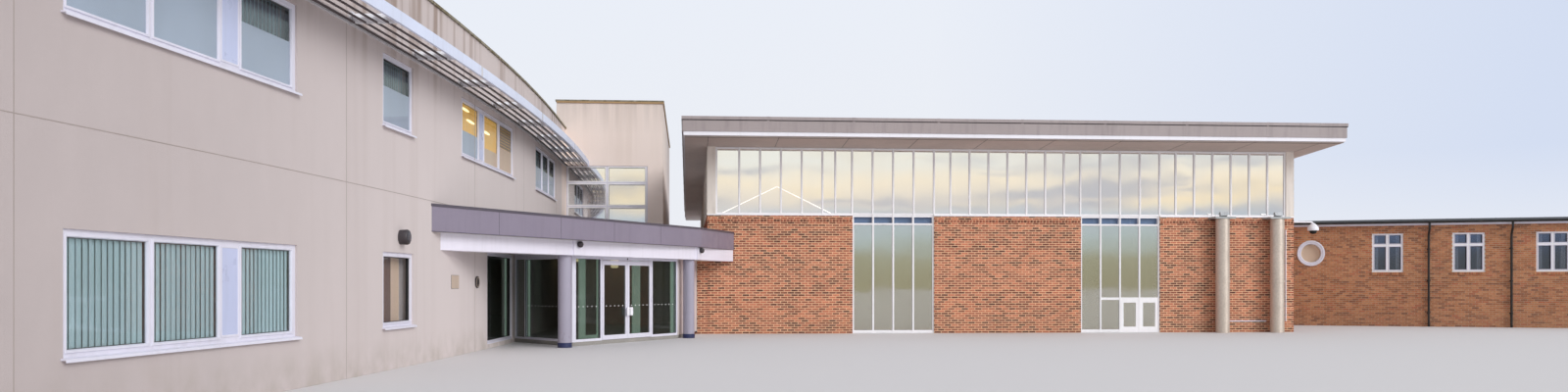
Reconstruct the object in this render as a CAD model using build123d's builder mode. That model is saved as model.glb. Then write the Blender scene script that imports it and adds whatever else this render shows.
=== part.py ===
from build123d import *
from math import cos, degrees, hypot, radians, sin
import os

# The entrance court of a small hospital at half its real size: a curved rendered wing with a
# sunshade, a tall end block, a glazed entrance under a canopy, a brick hall with a clerestory,
# two flues and a turned low brick wing. Every length is in millimetres of the half-size model.
# X runs right along the hall's front, Y away from it into the hall, Z up. The origin is where
# the centrelines of the hall's front and left walls cross, on the ground.

# Common thicknesses
WALL = 150
SLAB = 50
FRAME_DEPTH = 45
FRAME_BAR = 25
GLASS = 12
GLASS_INSET = 16

# Brick hall
HALL_LENGTH = 9800
HALL_DEPTH = 10500
HALL_SILL = 1925
HALL_HEAD = 3015
COLUMN_BAY = 1900
FIRST_COLUMN = 175
BAYS = 5
PANES_PER_BAY = 6
FIRST_BAY_PANE = 338
TALL_BAYS = (1, 3)
TALL_GLAZING = 1350
TALL_PANES = 4
SPANDREL_HEIGHT = 100
MULLION = 30
MULLION_DEPTH = 60
CLADDING = 130
COLUMN_RADIUS = 55
COLUMN_SIDES = 16
COLUMN_SETBACK = 120
BRACE_RADIUS = 18
BRACE_SIDES = 8
BRACE_APEX = 2490

# Hall roof, a single slope that falls to the rear
ROOF_FALL = 0.055
ROOF_DECK = 280
FRONT_OVERHANG = 900
REAR_OVERHANG = 450
SIDE_OVERHANG = 360
STRIP_LOW = 15
STRIP_HEIGHT = 60
STRIP_BOARD = 20
FASCIA_HEIGHT = 180
FASCIA_BOARD = 35
CAPPING_HEIGHT = 48
CAPPING_LIP = 14

# Flues in front of the hall
FLUE_RADIUS = 112
FLUE_HEIGHT = 1880
FLUE_PLACES = (8490, 9425)
FLUE_GAP = 60
FLUE_CAP = 30
FLUE_CAP_REACH = 60
FLUE_RING = 8
FLUE_RING_HEIGHT = 30
FLUE_JOINT = 830
FLUE_BRACKET_WIDTH = 60
FLUE_BRACKET_HEIGHT = 40
FLUE_BRACKETS = (1720, 620)

# Low brick wing, turned towards the court
LOW_TURN = -24
LOW_START = 3900
LOW_LENGTH = 8500
LOW_DEPTH = 4200
LOW_HEIGHT = 1950
LOW_ROOF = 70
LOW_EAVES = 110
LOW_WINDOW_WIDTH = 540
LOW_WINDOW_SILL = 1030
LOW_WINDOW_HEAD = 1775
LOW_WINDOW_TRANSOM = 1540
LOW_WINDOW_FIRST = 3480
LOW_WINDOW_PITCH = 1360
LOW_WINDOWS = 4
ROUND_WINDOW_PLACE = 2140
ROUND_WINDOW_HEIGHT = 1400
ROUND_WINDOW_RADIUS = 212
ROUND_RIM = 38
GUTTER_RADIUS = 32
PIPE_RADIUS = 20
PIPE_SIDES = 12
PIPE_FIRST = 4170
PIPES = 3
PIPE_OFFSET = 45
NECK_DROP = 96
NECK_LENGTH = 128

# Curved wing. Places along it are arc lengths from the point where its face runs parallel to Y.
WING_FACE_X = -2685
WING_APEX_Y = 1810
WING_RADIUS = 99800
WING_DEPTH = 5000
WING_NEAR_END = -18700
WING_STRAIGHT_END = 10775
WING_FIRST_FLOOR = 1600
WING_FLOOR_THICKNESS = 110
WING_ROOF = 3300
WING_ROOF_THICKNESS = 120
WING_TOP = 3720
COPING_HEIGHT = 28
COPING_LIP = 20
GROUND_SILL = 400
GROUND_HEAD = 1100
UPPER_SILL = 2265
UPPER_HEAD = 2935
BAY_JOINTS = (-18700, -14730, -10700, -6650, -3600, 0)
NEAR_WINDOW_LEFT = -18390
WIDE_WINDOW_LEFT = -14360
WIDE_WINDOW_WIDTH = 2720
WIDE_PANEL = 260
SINGLE_WINDOW_LEFT = -9850
SINGLE_WINDOW_WIDTH = 850
THIRD_WINDOW_LEFT = -7250
THIRD_WINDOW_WIDTH = 2850
FOURTH_WINDOW_LEFT = -2530
FOURTH_WINDOW_WIDTH = 2400
LOBBY_GLASS_LEFT = -6020
LOBBY_GLASS_WIDTH = 1560
LOBBY_GLASS_HEAD = 1200

# Sunshade over the wing's upper windows
SHADE_HEIGHT = 3020
SHADE_REACH = 460
SHADE_STRIP_HEIGHT = 105
SHADE_STRIP = 25
SHADE_BLADES = 4
BLADE_CHORD = 90
BLADE_THICKNESS = 12
BLADE_TAPER = 20
BLADE_TILT = 32
BRACKET_PITCH = 1625
BRACKET_FIRST = 750
BRACKETS = 12
BRACKET_WIDTH = 22
BRACKET_HEIGHT = 80
SHADE_END_GAP = 25
SHADE_STRIP_DROP = 15

# End block
BLOCK_RIGHT_X = -860
BLOCK_LEFT_X = -2850
BLOCK_FRONT_Y = 3350
BLOCK_TOP = 4240
BLOCK_GLAZING_LEFT = -2670
BLOCK_GLAZING_RIGHT = -1150
BLOCK_GLAZING_SILL = 1700
BLOCK_GLAZING_HEAD = 3030
BLOCK_TRANSOMS = (2710, 2265)

# Entrance: a glazed screen on two lines under a canopy with a bend
SCREEN_CORNER = (-1870, -3745)
SCREEN_END = (-540, -1590)
SCREEN_WING_END = (-2790, -2450)
SCREEN_HEIGHT = 1165
CORNER_POST = 75
DOOR_HEIGHT = 1125
DOOR_LEFT = 650
DOOR_OPENING = 1190
DOOR_CLEARANCE = 5
DOOR_STILE = 45
DOOR_RAIL = 60
DOOR_THICKNESS = 24
DOOR_GLASS = 8
HINGE_RADIUS = 7
HINGE_SIDES = 8
HINGE_LENGTH = 32
HINGE_GAP = 0.3
HINGE_SETOFF = 0.5
HINGE_STRAP = 20
HINGE_HEIGHTS = (150, 560, 970)
HANDLE_RADIUS = 8
HANDLE_SIDES = 8
HANDLE_LENGTH = 110
HANDLE_HEIGHT = 370
HANDLE_STANDOFF = 32
CANOPY_WING_END = (-3075, -6645)
CANOPY_BEND = (-185, -1525)
CANOPY_HALL_END = 350
CANOPY_LOW = 1350
CANOPY_HIGH = 1635
CANOPY_EDGE = 20
LINK_BACK_Y = 4200
BEAM_LOW = 1165
BEAM_DEPTH = 250
BEAM_WING_END = (-3200, -6353)
BEAM_HALL_END = 220
BEAM_BOX = 160
BEAM_BOX_LIP = 20
POST_RADIUS = 85
POST_A = (-1935, -4025)
POST_B = (-375, -1475)
POST_BASE = 60
POST_BASE_LIP = 6
PIER_LEFT = -290
LOBBY_WALL = 100

os.makedirs("parts", exist_ok=True)


def write(builder, name):
    builder.part.label = name
    export_step(builder.part, f"parts/{name}.step")


# Hall: shared places
hall_left = -WALL / 2
hall_front = -WALL / 2
hall_right = hall_left + HALL_LENGTH
hall_back = hall_front + HALL_DEPTH


def soffit(y):
    return HALL_HEAD - ROOF_FALL * (y - hall_front)


def column_x(index):
    return hall_left + FIRST_COLUMN + COLUMN_BAY * index


def tall_span(bay):
    middle = (column_x(bay) + column_x(bay + 1)) / 2
    return middle - TALL_GLAZING / 2, middle + TALL_GLAZING / 2


def block(x_low, x_high, y_low, y_high, z_low, z_high, mode=Mode.ADD):
    """A straight block between two corners, in the part that is being made."""
    with BuildSketch(Plane.XY.offset(z_low)) as plan:
        with Locations(((x_low + x_high) / 2, (y_low + y_high) / 2)):
            Rectangle(x_high - x_low, y_high - y_low)
    extrude(plan.sketch, amount=z_high - z_low, mode=mode)


def slope(x_low, x_high, y_low, y_high, low, high, mode=Mode.ADD):
    """A block whose underside and top follow the roof's slope, low and high above the soffit."""
    with BuildSketch(Plane.YZ.offset(x_low)) as profile:
        with BuildLine():
            Polyline(
                (y_low, soffit(y_low) + low),
                (y_high, soffit(y_high) + low),
                (y_high, soffit(y_high) + high),
                (y_low, soffit(y_low) + high),
                close=True,
            )
        make_face()
    extrude(profile.sketch, amount=x_high - x_low, mode=mode)


# Hall: floor
with BuildPart() as hall_floor:
    block(hall_left + WALL, hall_right - WALL, hall_front + WALL, hall_back - WALL, 0, SLAB)
write(hall_floor, "hall_floor")


# Hall: brickwork up to the clerestory sill, open at the tall glazed bays
def brick_panels(y_low):
    edges = [hall_left]
    for bay in TALL_BAYS:
        edges += tall_span(bay)
    edges.append(hall_right)
    for left, right in zip(edges[0::2], edges[1::2]):
        block(left, right, y_low, y_low + WALL, 0, HALL_SILL)


with BuildPart() as hall_front_brick:
    brick_panels(hall_front)
    block(PIER_LEFT, hall_left, hall_front, hall_front + WALL, 0, CANOPY_LOW)
write(hall_front_brick, "hall_front_brick")

with BuildPart() as hall_back_brick:
    brick_panels(hall_back - WALL)
write(hall_back_brick, "hall_back_brick")

with BuildPart() as hall_side_brick:
    for x_low in (hall_left, hall_right - WALL):
        block(x_low, x_low + WALL, hall_front + WALL, hall_back - WALL, 0, HALL_SILL)
write(hall_side_brick, "hall_side_brick")

# Hall: white cladding above the side brickwork, as thick as the clerestory's corner jambs
with BuildPart() as hall_side_cladding:
    for x_low in (hall_left, hall_right - CLADDING):
        with BuildSketch(Plane.YZ.offset(x_low)):
            with BuildLine():
                Polyline(
                    (hall_front, HALL_SILL),
                    (hall_back, HALL_SILL),
                    (hall_back, soffit(hall_back)),
                    (hall_front, soffit(hall_front)),
                    close=True,
                )
            make_face()
        extrude(amount=CLADDING)
write(hall_side_cladding, "hall_side_cladding")


# Hall: curtain walling
def mullion_places():
    """The middle of each clerestory mullion between the two corner jambs."""
    places = []
    for bay in range(BAYS):
        left = column_x(bay)
        if bay in TALL_BAYS:
            tall_left, tall_right = tall_span(bay)
            pane = (tall_right - tall_left) / TALL_PANES
            places += [tall_left + pane * k for k in range(TALL_PANES + 1)]
        elif bay == 0:
            places += [left + FIRST_BAY_PANE * k for k in range(1, PANES_PER_BAY)]
        else:
            places += [left + COLUMN_BAY / PANES_PER_BAY * k for k in range(1, PANES_PER_BAY)]
        if bay < BAYS - 1:
            places.append(column_x(bay + 1))
    return places


clerestory_left = hall_left + CLADDING
clerestory_right = hall_right - CLADDING


def clerestory_frame(y_low):
    top = min(soffit(y_low), soffit(y_low + MULLION_DEPTH))
    block(clerestory_left, clerestory_right, y_low, y_low + MULLION_DEPTH, HALL_SILL, top)
    edges = [clerestory_left + MULLION / 2, *mullion_places(), clerestory_right - MULLION / 2]
    for left, right in zip(edges, edges[1:]):
        block(
            left + MULLION / 2,
            right - MULLION / 2,
            y_low,
            y_low + MULLION_DEPTH,
            HALL_SILL + MULLION,
            top - MULLION,
            Mode.SUBTRACT,
        )


def tall_frame(bay, y_low):
    left, right = tall_span(bay)
    y_high = y_low + MULLION_DEPTH
    block(left, right, y_low, y_high, 0, HALL_SILL)
    pane = (right - left - MULLION) / TALL_PANES
    rows = (
        (SLAB, HALL_SILL - SPANDREL_HEIGHT - 2 * MULLION),
        (HALL_SILL - SPANDREL_HEIGHT - MULLION, HALL_SILL - MULLION),
    )
    for column in range(TALL_PANES):
        pane_left = left + MULLION + pane * column
        for low, high in rows:
            block(pane_left, pane_left + pane - MULLION, y_low, y_high, low, high, Mode.SUBTRACT)


with BuildPart() as clerestory_frames:
    clerestory_frame(hall_front + MULLION)
    clerestory_frame(hall_back - MULLION - MULLION_DEPTH)
write(clerestory_frames, "clerestory_frames")

with BuildPart() as tall_window_frames:
    for y_low in (hall_front + MULLION, hall_back - MULLION - MULLION_DEPTH):
        for bay in TALL_BAYS:
            tall_frame(bay, y_low)
write(tall_window_frames, "tall_window_frames")

# Hall: glass against the back of the frames, and the dark panel between the two transoms
spandrel_bottom = HALL_SILL - SPANDREL_HEIGHT - MULLION - MULLION / 2
glass_faces = (
    hall_front + MULLION + MULLION_DEPTH,
    hall_back - MULLION - MULLION_DEPTH - GLASS,
)
with BuildPart() as clerestory_glass:
    for y_low in glass_faces:
        top = min(soffit(y_low), soffit(y_low + GLASS))
        block(clerestory_left, clerestory_right, y_low, y_low + GLASS, HALL_SILL, top)
write(clerestory_glass, "clerestory_glass")

with BuildPart() as tall_window_glass:
    for y_low in glass_faces:
        for bay in TALL_BAYS:
            left, right = tall_span(bay)
            block(left, right, y_low, y_low + GLASS, SLAB, spandrel_bottom)
write(tall_window_glass, "tall_window_glass")

with BuildPart() as spandrel_panels:
    for y_low in glass_faces:
        for bay in TALL_BAYS:
            left, right = tall_span(bay)
            block(left, right, y_low, y_low + GLASS, spandrel_bottom, HALL_SILL)
write(spandrel_panels, "spandrel_panels")

# Hall: round steel columns behind the front glass, with sloping braces in the first bay
column_y = hall_front + WALL + COLUMN_SETBACK
with BuildPart() as hall_columns:
    for index in range(BAYS + 1):
        x = column_x(index)
        if index == 0:
            x = hall_left + WALL + COLUMN_RADIUS
        if index == BAYS:
            x = hall_right - WALL - COLUMN_RADIUS
        with BuildSketch(Plane.XY.offset(SLAB)):
            with Locations((x, column_y)):
                RegularPolygon(COLUMN_RADIUS, COLUMN_SIDES)
        extrude(amount=soffit(column_y) + COLUMN_RADIUS - SLAB)
    brace_middle = (column_x(0) + column_x(1)) / 2
    for foot in (column_x(0), column_x(1)):
        brace_start = Vector(foot, column_y, HALL_SILL)
        brace_end = Vector(brace_middle, column_y, BRACE_APEX)
        along_brace = (brace_end - brace_start).normalized()
        with BuildSketch(Plane(origin=brace_start, z_dir=along_brace)):
            RegularPolygon(BRACE_RADIUS, BRACE_SIDES)
        extrude(amount=(brace_end - brace_start).length + BRACE_RADIUS)
    slope(
        hall_left, hall_right, column_y - WALL, column_y + WALL, 0, ROOF_DECK * 2, Mode.SUBTRACT
    )
write(hall_columns, "hall_columns")

# Hall: roof deck, soffit strip, fascia with its capping
roof_left = hall_left - SIDE_OVERHANG
roof_right = hall_right + SIDE_OVERHANG
roof_front = hall_front - FRONT_OVERHANG
roof_back = hall_back + REAR_OVERHANG
with BuildPart() as hall_roof:
    slope(roof_left, roof_right, roof_front, roof_back, 0, ROOF_DECK)
write(hall_roof, "hall_roof")


def roof_ring(reach, board, low, high):
    """Boards all round the deck: their outer face stands out by reach."""
    slope(
        roof_left - reach, roof_right + reach, roof_front - reach, roof_back + reach, low, high
    )
    inner = reach - board
    slope(
        roof_left - inner, roof_right + inner, roof_front - inner, roof_back + inner, low, high,
        Mode.SUBTRACT,
    )


strip_top = STRIP_LOW + STRIP_HEIGHT
fascia_top = strip_top + FASCIA_HEIGHT
with BuildPart() as soffit_strip:
    roof_ring(STRIP_BOARD, STRIP_BOARD, STRIP_LOW, strip_top)
write(soffit_strip, "soffit_strip")

with BuildPart() as hall_fascia:
    roof_ring(
        FASCIA_BOARD + CAPPING_LIP,
        FASCIA_BOARD + CAPPING_LIP,
        fascia_top,
        fascia_top + CAPPING_HEIGHT,
    )
    roof_ring(FASCIA_BOARD, FASCIA_BOARD, strip_top, fascia_top)
write(hall_fascia, "hall_fascia")

# Flues: round ducts on the ground with a joint ring and cap plates, held by brackets
flue_y = hall_front - FLUE_GAP - FLUE_RADIUS
with BuildPart() as flues:
    for x in FLUE_PLACES:
        with BuildSketch():
            with Locations((hall_left + x, flue_y)):
                Circle(FLUE_RADIUS)
        extrude(amount=FLUE_HEIGHT)
        with BuildSketch(Plane.XY.offset(FLUE_JOINT)):
            with Locations((hall_left + x, flue_y)):
                Circle(FLUE_RADIUS + FLUE_RING)
        extrude(amount=FLUE_RING_HEIGHT)
write(flues, "flues")

with BuildPart() as flue_fixings:
    for x in FLUE_PLACES:
        block(
            hall_left + x - FLUE_RADIUS - FLUE_CAP_REACH,
            hall_left + x + FLUE_RADIUS + FLUE_CAP_REACH,
            flue_y - FLUE_RADIUS - FLUE_RING,
            hall_front,
            FLUE_HEIGHT,
            FLUE_HEIGHT + FLUE_CAP,
        )
    for x in FLUE_PLACES:
        for height in FLUE_BRACKETS:
            block(
                hall_left + x - FLUE_BRACKET_WIDTH / 2,
                hall_left + x + FLUE_BRACKET_WIDTH / 2,
                flue_y + FLUE_RADIUS / 2,
                hall_front,
                height,
                height + FLUE_BRACKET_HEIGHT,
            )
            with BuildSketch(Plane.XY.offset(height)):
                with Locations((hall_left + x, flue_y)):
                    Circle(FLUE_RADIUS)
            extrude(amount=FLUE_BRACKET_HEIGHT, mode=Mode.SUBTRACT)
write(flue_fixings, "flue_fixings")

# Low wing: its own plane starts where its front meets the hall's right side
low_plane = Plane(
    origin=(hall_right, hall_front + LOW_START, 0),
    x_dir=(cos(radians(LOW_TURN)), sin(radians(LOW_TURN)), 0),
    z_dir=(0, 0, 1),
)


def low_block(x_low, x_high, y_low, y_high, z_low, z_high, mode=Mode.ADD):
    """A block in the low wing's own plane."""
    with BuildSketch(low_plane.offset(z_low)) as plan:
        with Locations(((x_low + x_high) / 2, (y_low + y_high) / 2)):
            Rectangle(x_high - x_low, y_high - y_low)
    extrude(plan.sketch, amount=z_high - z_low, mode=mode)


def hall_side_cut(reach=0):
    """Takes away what would stand inside the hall, or under its verge."""
    block(
        hall_right - LOW_DEPTH - LOW_LENGTH,
        hall_right + reach,
        hall_front - LOW_LENGTH,
        hall_back + LOW_LENGTH,
        -SLAB,
        HALL_HEAD,
        Mode.SUBTRACT,
    )


# The turned wing's rear corner lies behind its start, so its walls run on into the hall's side
low_into_hall = LOW_DEPTH


def low_front_window(index):
    return LOW_WINDOW_FIRST + LOW_WINDOW_PITCH * index - LOW_WINDOW_WIDTH / 2


def round_window_plane(y):
    along = low_plane.x_dir
    back = Vector(-along.Y, along.X, 0)
    middle = low_plane.origin + along * ROUND_WINDOW_PLACE + back * y
    return Plane(
        origin=middle + Vector(0, 0, ROUND_WINDOW_HEIGHT),
        x_dir=along,
        z_dir=back,
    )


with BuildPart() as low_front_wall:
    low_block(-low_into_hall, LOW_LENGTH, 0, WALL, 0, LOW_HEIGHT)
    hall_side_cut()
    for index in range(LOW_WINDOWS):
        left = low_front_window(index)
        low_block(
            left,
            left + LOW_WINDOW_WIDTH,
            0,
            WALL,
            LOW_WINDOW_SILL,
            LOW_WINDOW_HEAD,
            Mode.SUBTRACT,
        )
    with BuildSketch(round_window_plane(0)):
        Circle(ROUND_WINDOW_RADIUS)
    extrude(amount=WALL, mode=Mode.SUBTRACT)
write(low_front_wall, "low_front_wall")

with BuildPart() as low_back_wall:
    low_block(-low_into_hall, LOW_LENGTH, LOW_DEPTH - WALL, LOW_DEPTH, 0, LOW_HEIGHT)
    hall_side_cut()
    for index in range(LOW_WINDOWS):
        left = low_front_window(index)
        low_block(
            left,
            left + LOW_WINDOW_WIDTH,
            LOW_DEPTH - WALL,
            LOW_DEPTH,
            LOW_WINDOW_SILL,
            LOW_WINDOW_HEAD,
            Mode.SUBTRACT,
        )
write(low_back_wall, "low_back_wall")

with BuildPart() as low_end_wall:
    low_block(LOW_LENGTH - WALL, LOW_LENGTH, WALL, LOW_DEPTH - WALL, 0, LOW_HEIGHT)
write(low_end_wall, "low_end_wall")

with BuildPart() as low_floor:
    low_block(-low_into_hall, LOW_LENGTH - WALL, WALL, LOW_DEPTH - WALL, 0, SLAB)
    hall_side_cut()
write(low_floor, "low_floor")

with BuildPart() as low_roof:
    low_block(
        -low_into_hall,
        LOW_LENGTH + LOW_EAVES,
        -LOW_EAVES,
        LOW_DEPTH + LOW_EAVES,
        LOW_HEIGHT,
        LOW_HEIGHT + LOW_ROOF,
    )
    hall_side_cut()
write(low_roof, "low_roof")


def casement(y_low, left):
    """A window frame with two lights below the transom and two above it."""
    y_high = y_low + FRAME_DEPTH
    low_block(left, left + LOW_WINDOW_WIDTH, y_low, y_high, LOW_WINDOW_SILL, LOW_WINDOW_HEAD)
    light = (LOW_WINDOW_WIDTH - 3 * FRAME_BAR) / 2
    for column in range(2):
        light_left = left + FRAME_BAR + (light + FRAME_BAR) * column
        for low, high in (
            (LOW_WINDOW_SILL + FRAME_BAR, LOW_WINDOW_TRANSOM - FRAME_BAR / 2),
            (LOW_WINDOW_TRANSOM + FRAME_BAR / 2, LOW_WINDOW_HEAD - FRAME_BAR),
        ):
            low_block(light_left, light_left + light, y_low, y_high, low, high, Mode.SUBTRACT)


low_frame_rows = (GLASS_INSET, LOW_DEPTH - GLASS_INSET - FRAME_DEPTH)
with BuildPart() as low_window_frames:
    for y_low in low_frame_rows:
        for index in range(LOW_WINDOWS):
            casement(y_low, low_front_window(index))
    with BuildSketch(round_window_plane(GLASS_INSET)):
        Circle(ROUND_WINDOW_RADIUS)
        Circle(ROUND_WINDOW_RADIUS - ROUND_RIM, mode=Mode.SUBTRACT)
    extrude(amount=FRAME_DEPTH)
write(low_window_frames, "low_window_frames")

with BuildPart() as low_window_glass:
    for y_low in (GLASS_INSET + FRAME_DEPTH, LOW_DEPTH - GLASS_INSET - FRAME_DEPTH - GLASS):
        for index in range(LOW_WINDOWS):
            left = low_front_window(index)
            low_block(
                left,
                left + LOW_WINDOW_WIDTH,
                y_low,
                y_low + GLASS,
                LOW_WINDOW_SILL,
                LOW_WINDOW_HEAD,
            )
    with BuildSketch(round_window_plane(GLASS_INSET + FRAME_DEPTH)):
        Circle(ROUND_WINDOW_RADIUS)
    extrude(amount=GLASS)
write(low_window_glass, "low_window_glass")

# Low wing: half-round gutter at the eaves and swan-necked downpipes
gutter_top = LOW_HEIGHT + LOW_ROOF / 2
pipe_line = -PIPE_RADIUS - PIPE_OFFSET / 2
gutter_line = -LOW_EAVES - GUTTER_RADIUS
with BuildPart() as low_gutter:
    along = low_plane.x_dir
    back = Vector(-along.Y, along.X, 0)
    section_origin = low_plane.origin + along * LOW_LENGTH + back * gutter_line
    with BuildSketch(
        Plane(
            origin=section_origin + Vector(0, 0, gutter_top),
            x_dir=(back.X, back.Y, 0),
            z_dir=(along.X, along.Y, 0),
        )
    ):
        Circle(GUTTER_RADIUS)
        with Locations((0, GUTTER_RADIUS)):
            Rectangle(3 * GUTTER_RADIUS, 2 * GUTTER_RADIUS, mode=Mode.SUBTRACT)
    extrude(amount=-LOW_LENGTH - low_into_hall)
    hall_side_cut()
    for index in range(PIPES):
        x = PIPE_FIRST + LOW_WINDOW_PITCH * index
        wall_point = low_plane.origin + along * x + back * pipe_line
        gutter_point = low_plane.origin + along * x + back * gutter_line
        neck = LOW_HEIGHT - NECK_DROP
        with BuildLine():
            route = Polyline(
                wall_point,
                wall_point + Vector(0, 0, neck - NECK_LENGTH),
                gutter_point + Vector(0, 0, neck),
                gutter_point + Vector(0, 0, gutter_top - GUTTER_RADIUS / 2),
            )
        with BuildSketch(Plane(origin=wall_point, z_dir=(0, 0, 1))):
            RegularPolygon(PIPE_RADIUS, PIPE_SIDES)
        sweep(path=route, transition=Transition.RIGHT)
write(low_gutter, "low_gutter")

# Straight pieces that stand on a line in plan: x runs along the line, y to its left
def line_plane(start, end, height=0):
    along = Vector(end[0] - start[0], end[1] - start[1], 0).normalized()
    return Plane(origin=(start[0], start[1], height), x_dir=along, z_dir=(0, 0, 1))


def line_block(plane, x_low, x_high, y_low, y_high, z_low, z_high, mode=Mode.ADD):
    with BuildSketch(plane.offset(z_low)) as plan:
        with Locations(((x_low + x_high) / 2, (y_low + y_high) / 2)):
            Rectangle(x_high - x_low, y_high - y_low)
    extrude(plan.sketch, amount=z_high - z_low, mode=mode)


# Curved wing: bands of its plan, between two arc lengths and two distances behind its face
wing_centre = (WING_FACE_X - WING_RADIUS, WING_APEX_Y)
block_back_y = WING_STRAIGHT_END


def arc_block(start, end, behind_low, behind_high, z_low, z_high, mode=Mode.ADD):
    """A curved block: start to end along the wing's face, behind_low to behind_high behind it."""
    first = degrees(start / WING_RADIUS)
    sweep_angle = degrees((end - start) / WING_RADIUS)
    outer_radius = WING_RADIUS - behind_low
    inner_radius = WING_RADIUS - behind_high
    with BuildSketch(Plane.XY.offset(z_low)) as plan:
        with BuildLine():
            outer = CenterArc(wing_centre, outer_radius, first, sweep_angle)
            inner = CenterArc(wing_centre, inner_radius, first, sweep_angle)
            Line(outer @ 0, inner @ 0)
            Line(outer @ 1, inner @ 1)
        make_face()
    extrude(plan.sketch, amount=z_high - z_low, mode=mode)


def wing_band(start, behind_low, behind_high, z_low, z_high, end_y=WING_STRAIGHT_END):
    """A band of the wing from an arc length to its straight far end."""
    arc_block(start, 0, behind_low, behind_high, z_low, z_high)
    block(
        WING_FACE_X - behind_high,
        WING_FACE_X - behind_low,
        WING_APEX_Y,
        end_y,
        z_low,
        z_high,
    )


def chord_plane(left, width, behind=0):
    """A straight line across the curve, under a window, from its left edge: y leads inwards."""
    ends = []
    for place in (left, left + width):
        angle = place / WING_RADIUS
        radius = WING_RADIUS - behind
        ends.append((wing_centre[0] + radius * cos(angle), wing_centre[1] + radius * sin(angle)))
    return line_plane(*ends)


# Each window: left edge, width, sill, head, and its lights as (from, to) inside the frame
def wide_lights(width):
    light = (width - WIDE_PANEL - 4 * FRAME_BAR) / 3
    first = FRAME_BAR
    second = first + light + FRAME_BAR
    third = second + light + WIDE_PANEL
    return ((first, first + light), (second, second + light), (third, third + light))


def mirrored_lights(width):
    return tuple((width - high, width - low) for low, high in wide_lights(width))


def even_lights(width, count):
    light = (width - (count + 1) * FRAME_BAR) / count
    return tuple(
        (FRAME_BAR + (light + FRAME_BAR) * k, (light + FRAME_BAR) * (k + 1)) for k in range(count)
    )


ground_windows = (
    (NEAR_WINDOW_LEFT, WIDE_WINDOW_WIDTH, GROUND_SILL, GROUND_HEAD, wide_lights(WIDE_WINDOW_WIDTH)),
    (WIDE_WINDOW_LEFT, WIDE_WINDOW_WIDTH, GROUND_SILL, GROUND_HEAD, wide_lights(WIDE_WINDOW_WIDTH)),
    (
        SINGLE_WINDOW_LEFT,
        SINGLE_WINDOW_WIDTH,
        GROUND_SILL,
        GROUND_HEAD,
        even_lights(SINGLE_WINDOW_WIDTH, 1),
    ),
    (
        LOBBY_GLASS_LEFT,
        LOBBY_GLASS_WIDTH,
        SLAB,
        LOBBY_GLASS_HEAD,
        even_lights(LOBBY_GLASS_WIDTH, 1),
    ),
)
upper_windows = (
    (NEAR_WINDOW_LEFT, WIDE_WINDOW_WIDTH, UPPER_SILL, UPPER_HEAD, wide_lights(WIDE_WINDOW_WIDTH)),
    (WIDE_WINDOW_LEFT, WIDE_WINDOW_WIDTH, UPPER_SILL, UPPER_HEAD, wide_lights(WIDE_WINDOW_WIDTH)),
    (
        SINGLE_WINDOW_LEFT,
        SINGLE_WINDOW_WIDTH,
        UPPER_SILL,
        UPPER_HEAD,
        even_lights(SINGLE_WINDOW_WIDTH, 1),
    ),
    (
        THIRD_WINDOW_LEFT,
        THIRD_WINDOW_WIDTH,
        UPPER_SILL,
        UPPER_HEAD,
        mirrored_lights(THIRD_WINDOW_WIDTH),
    ),
    (
        FOURTH_WINDOW_LEFT,
        FOURTH_WINDOW_WIDTH,
        UPPER_SILL,
        UPPER_HEAD,
        even_lights(FOURTH_WINDOW_WIDTH, 3),
    ),
)
windows = ground_windows + upper_windows

# Wing: ground slab, upper floor and roof
with BuildPart() as wing_floor:
    wing_band(WING_NEAR_END + WALL, WALL, WING_DEPTH - WALL, 0, SLAB, WING_STRAIGHT_END - WALL)
write(wing_floor, "wing_floor")

with BuildPart() as wing_upper_floor:
    wing_band(
        WING_NEAR_END + WALL,
        WALL,
        WING_DEPTH - WALL,
        WING_FIRST_FLOOR - WING_FLOOR_THICKNESS,
        WING_FIRST_FLOOR,
        WING_STRAIGHT_END - WALL,
    )
write(wing_upper_floor, "wing_upper_floor")

with BuildPart() as wing_roof:
    wing_band(
        WING_NEAR_END + WALL,
        WALL,
        WING_DEPTH - WALL,
        WING_ROOF,
        WING_ROOF + WING_ROOF_THICKNESS,
        WING_STRAIGHT_END - WALL,
    )
write(wing_roof, "wing_roof")


def window_hole(plane, width, sill, head):
    """A straight hole right through the wall, whose face bulges a little in front of the chord."""
    line_block(plane, 0, width, -WALL, 2 * WALL, sill, head, Mode.SUBTRACT)


# Wing: front wall in segments, with the windows cut through
for number, (start, end) in enumerate(zip(BAY_JOINTS, BAY_JOINTS[1:]), start=1):
    with BuildPart() as wing_bay:
        arc_block(start, end, 0, WALL, 0, WING_TOP)
        for left, width, sill, head, lights in windows:
            if left < end and left + width > start:
                window_hole(chord_plane(left, width), width, sill, head)
    write(wing_bay, f"wing_front_bay_{number}")

# Wing: the straight wall that the end block shares
with BuildPart() as wing_shared_wall:
    block(
        WING_FACE_X - WALL, WING_FACE_X, WING_APEX_Y, WING_STRAIGHT_END, 0, WING_TOP
    )
write(wing_shared_wall, "wing_shared_wall")

# Wing: back wall with the same windows again, and the two end walls
back_windows = [
    (left, width, sill, head, lights)
    for left, width, sill, head, lights in windows
    if sill != SLAB
]
with BuildPart() as wing_back_wall:
    wing_band(WING_NEAR_END, WING_DEPTH - WALL, WING_DEPTH, 0, WING_TOP)
    for left, width, sill, head, lights in back_windows:
        window_hole(chord_plane(left, width, WING_DEPTH - WALL), width, sill, head)
write(wing_back_wall, "wing_back_wall")

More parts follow.
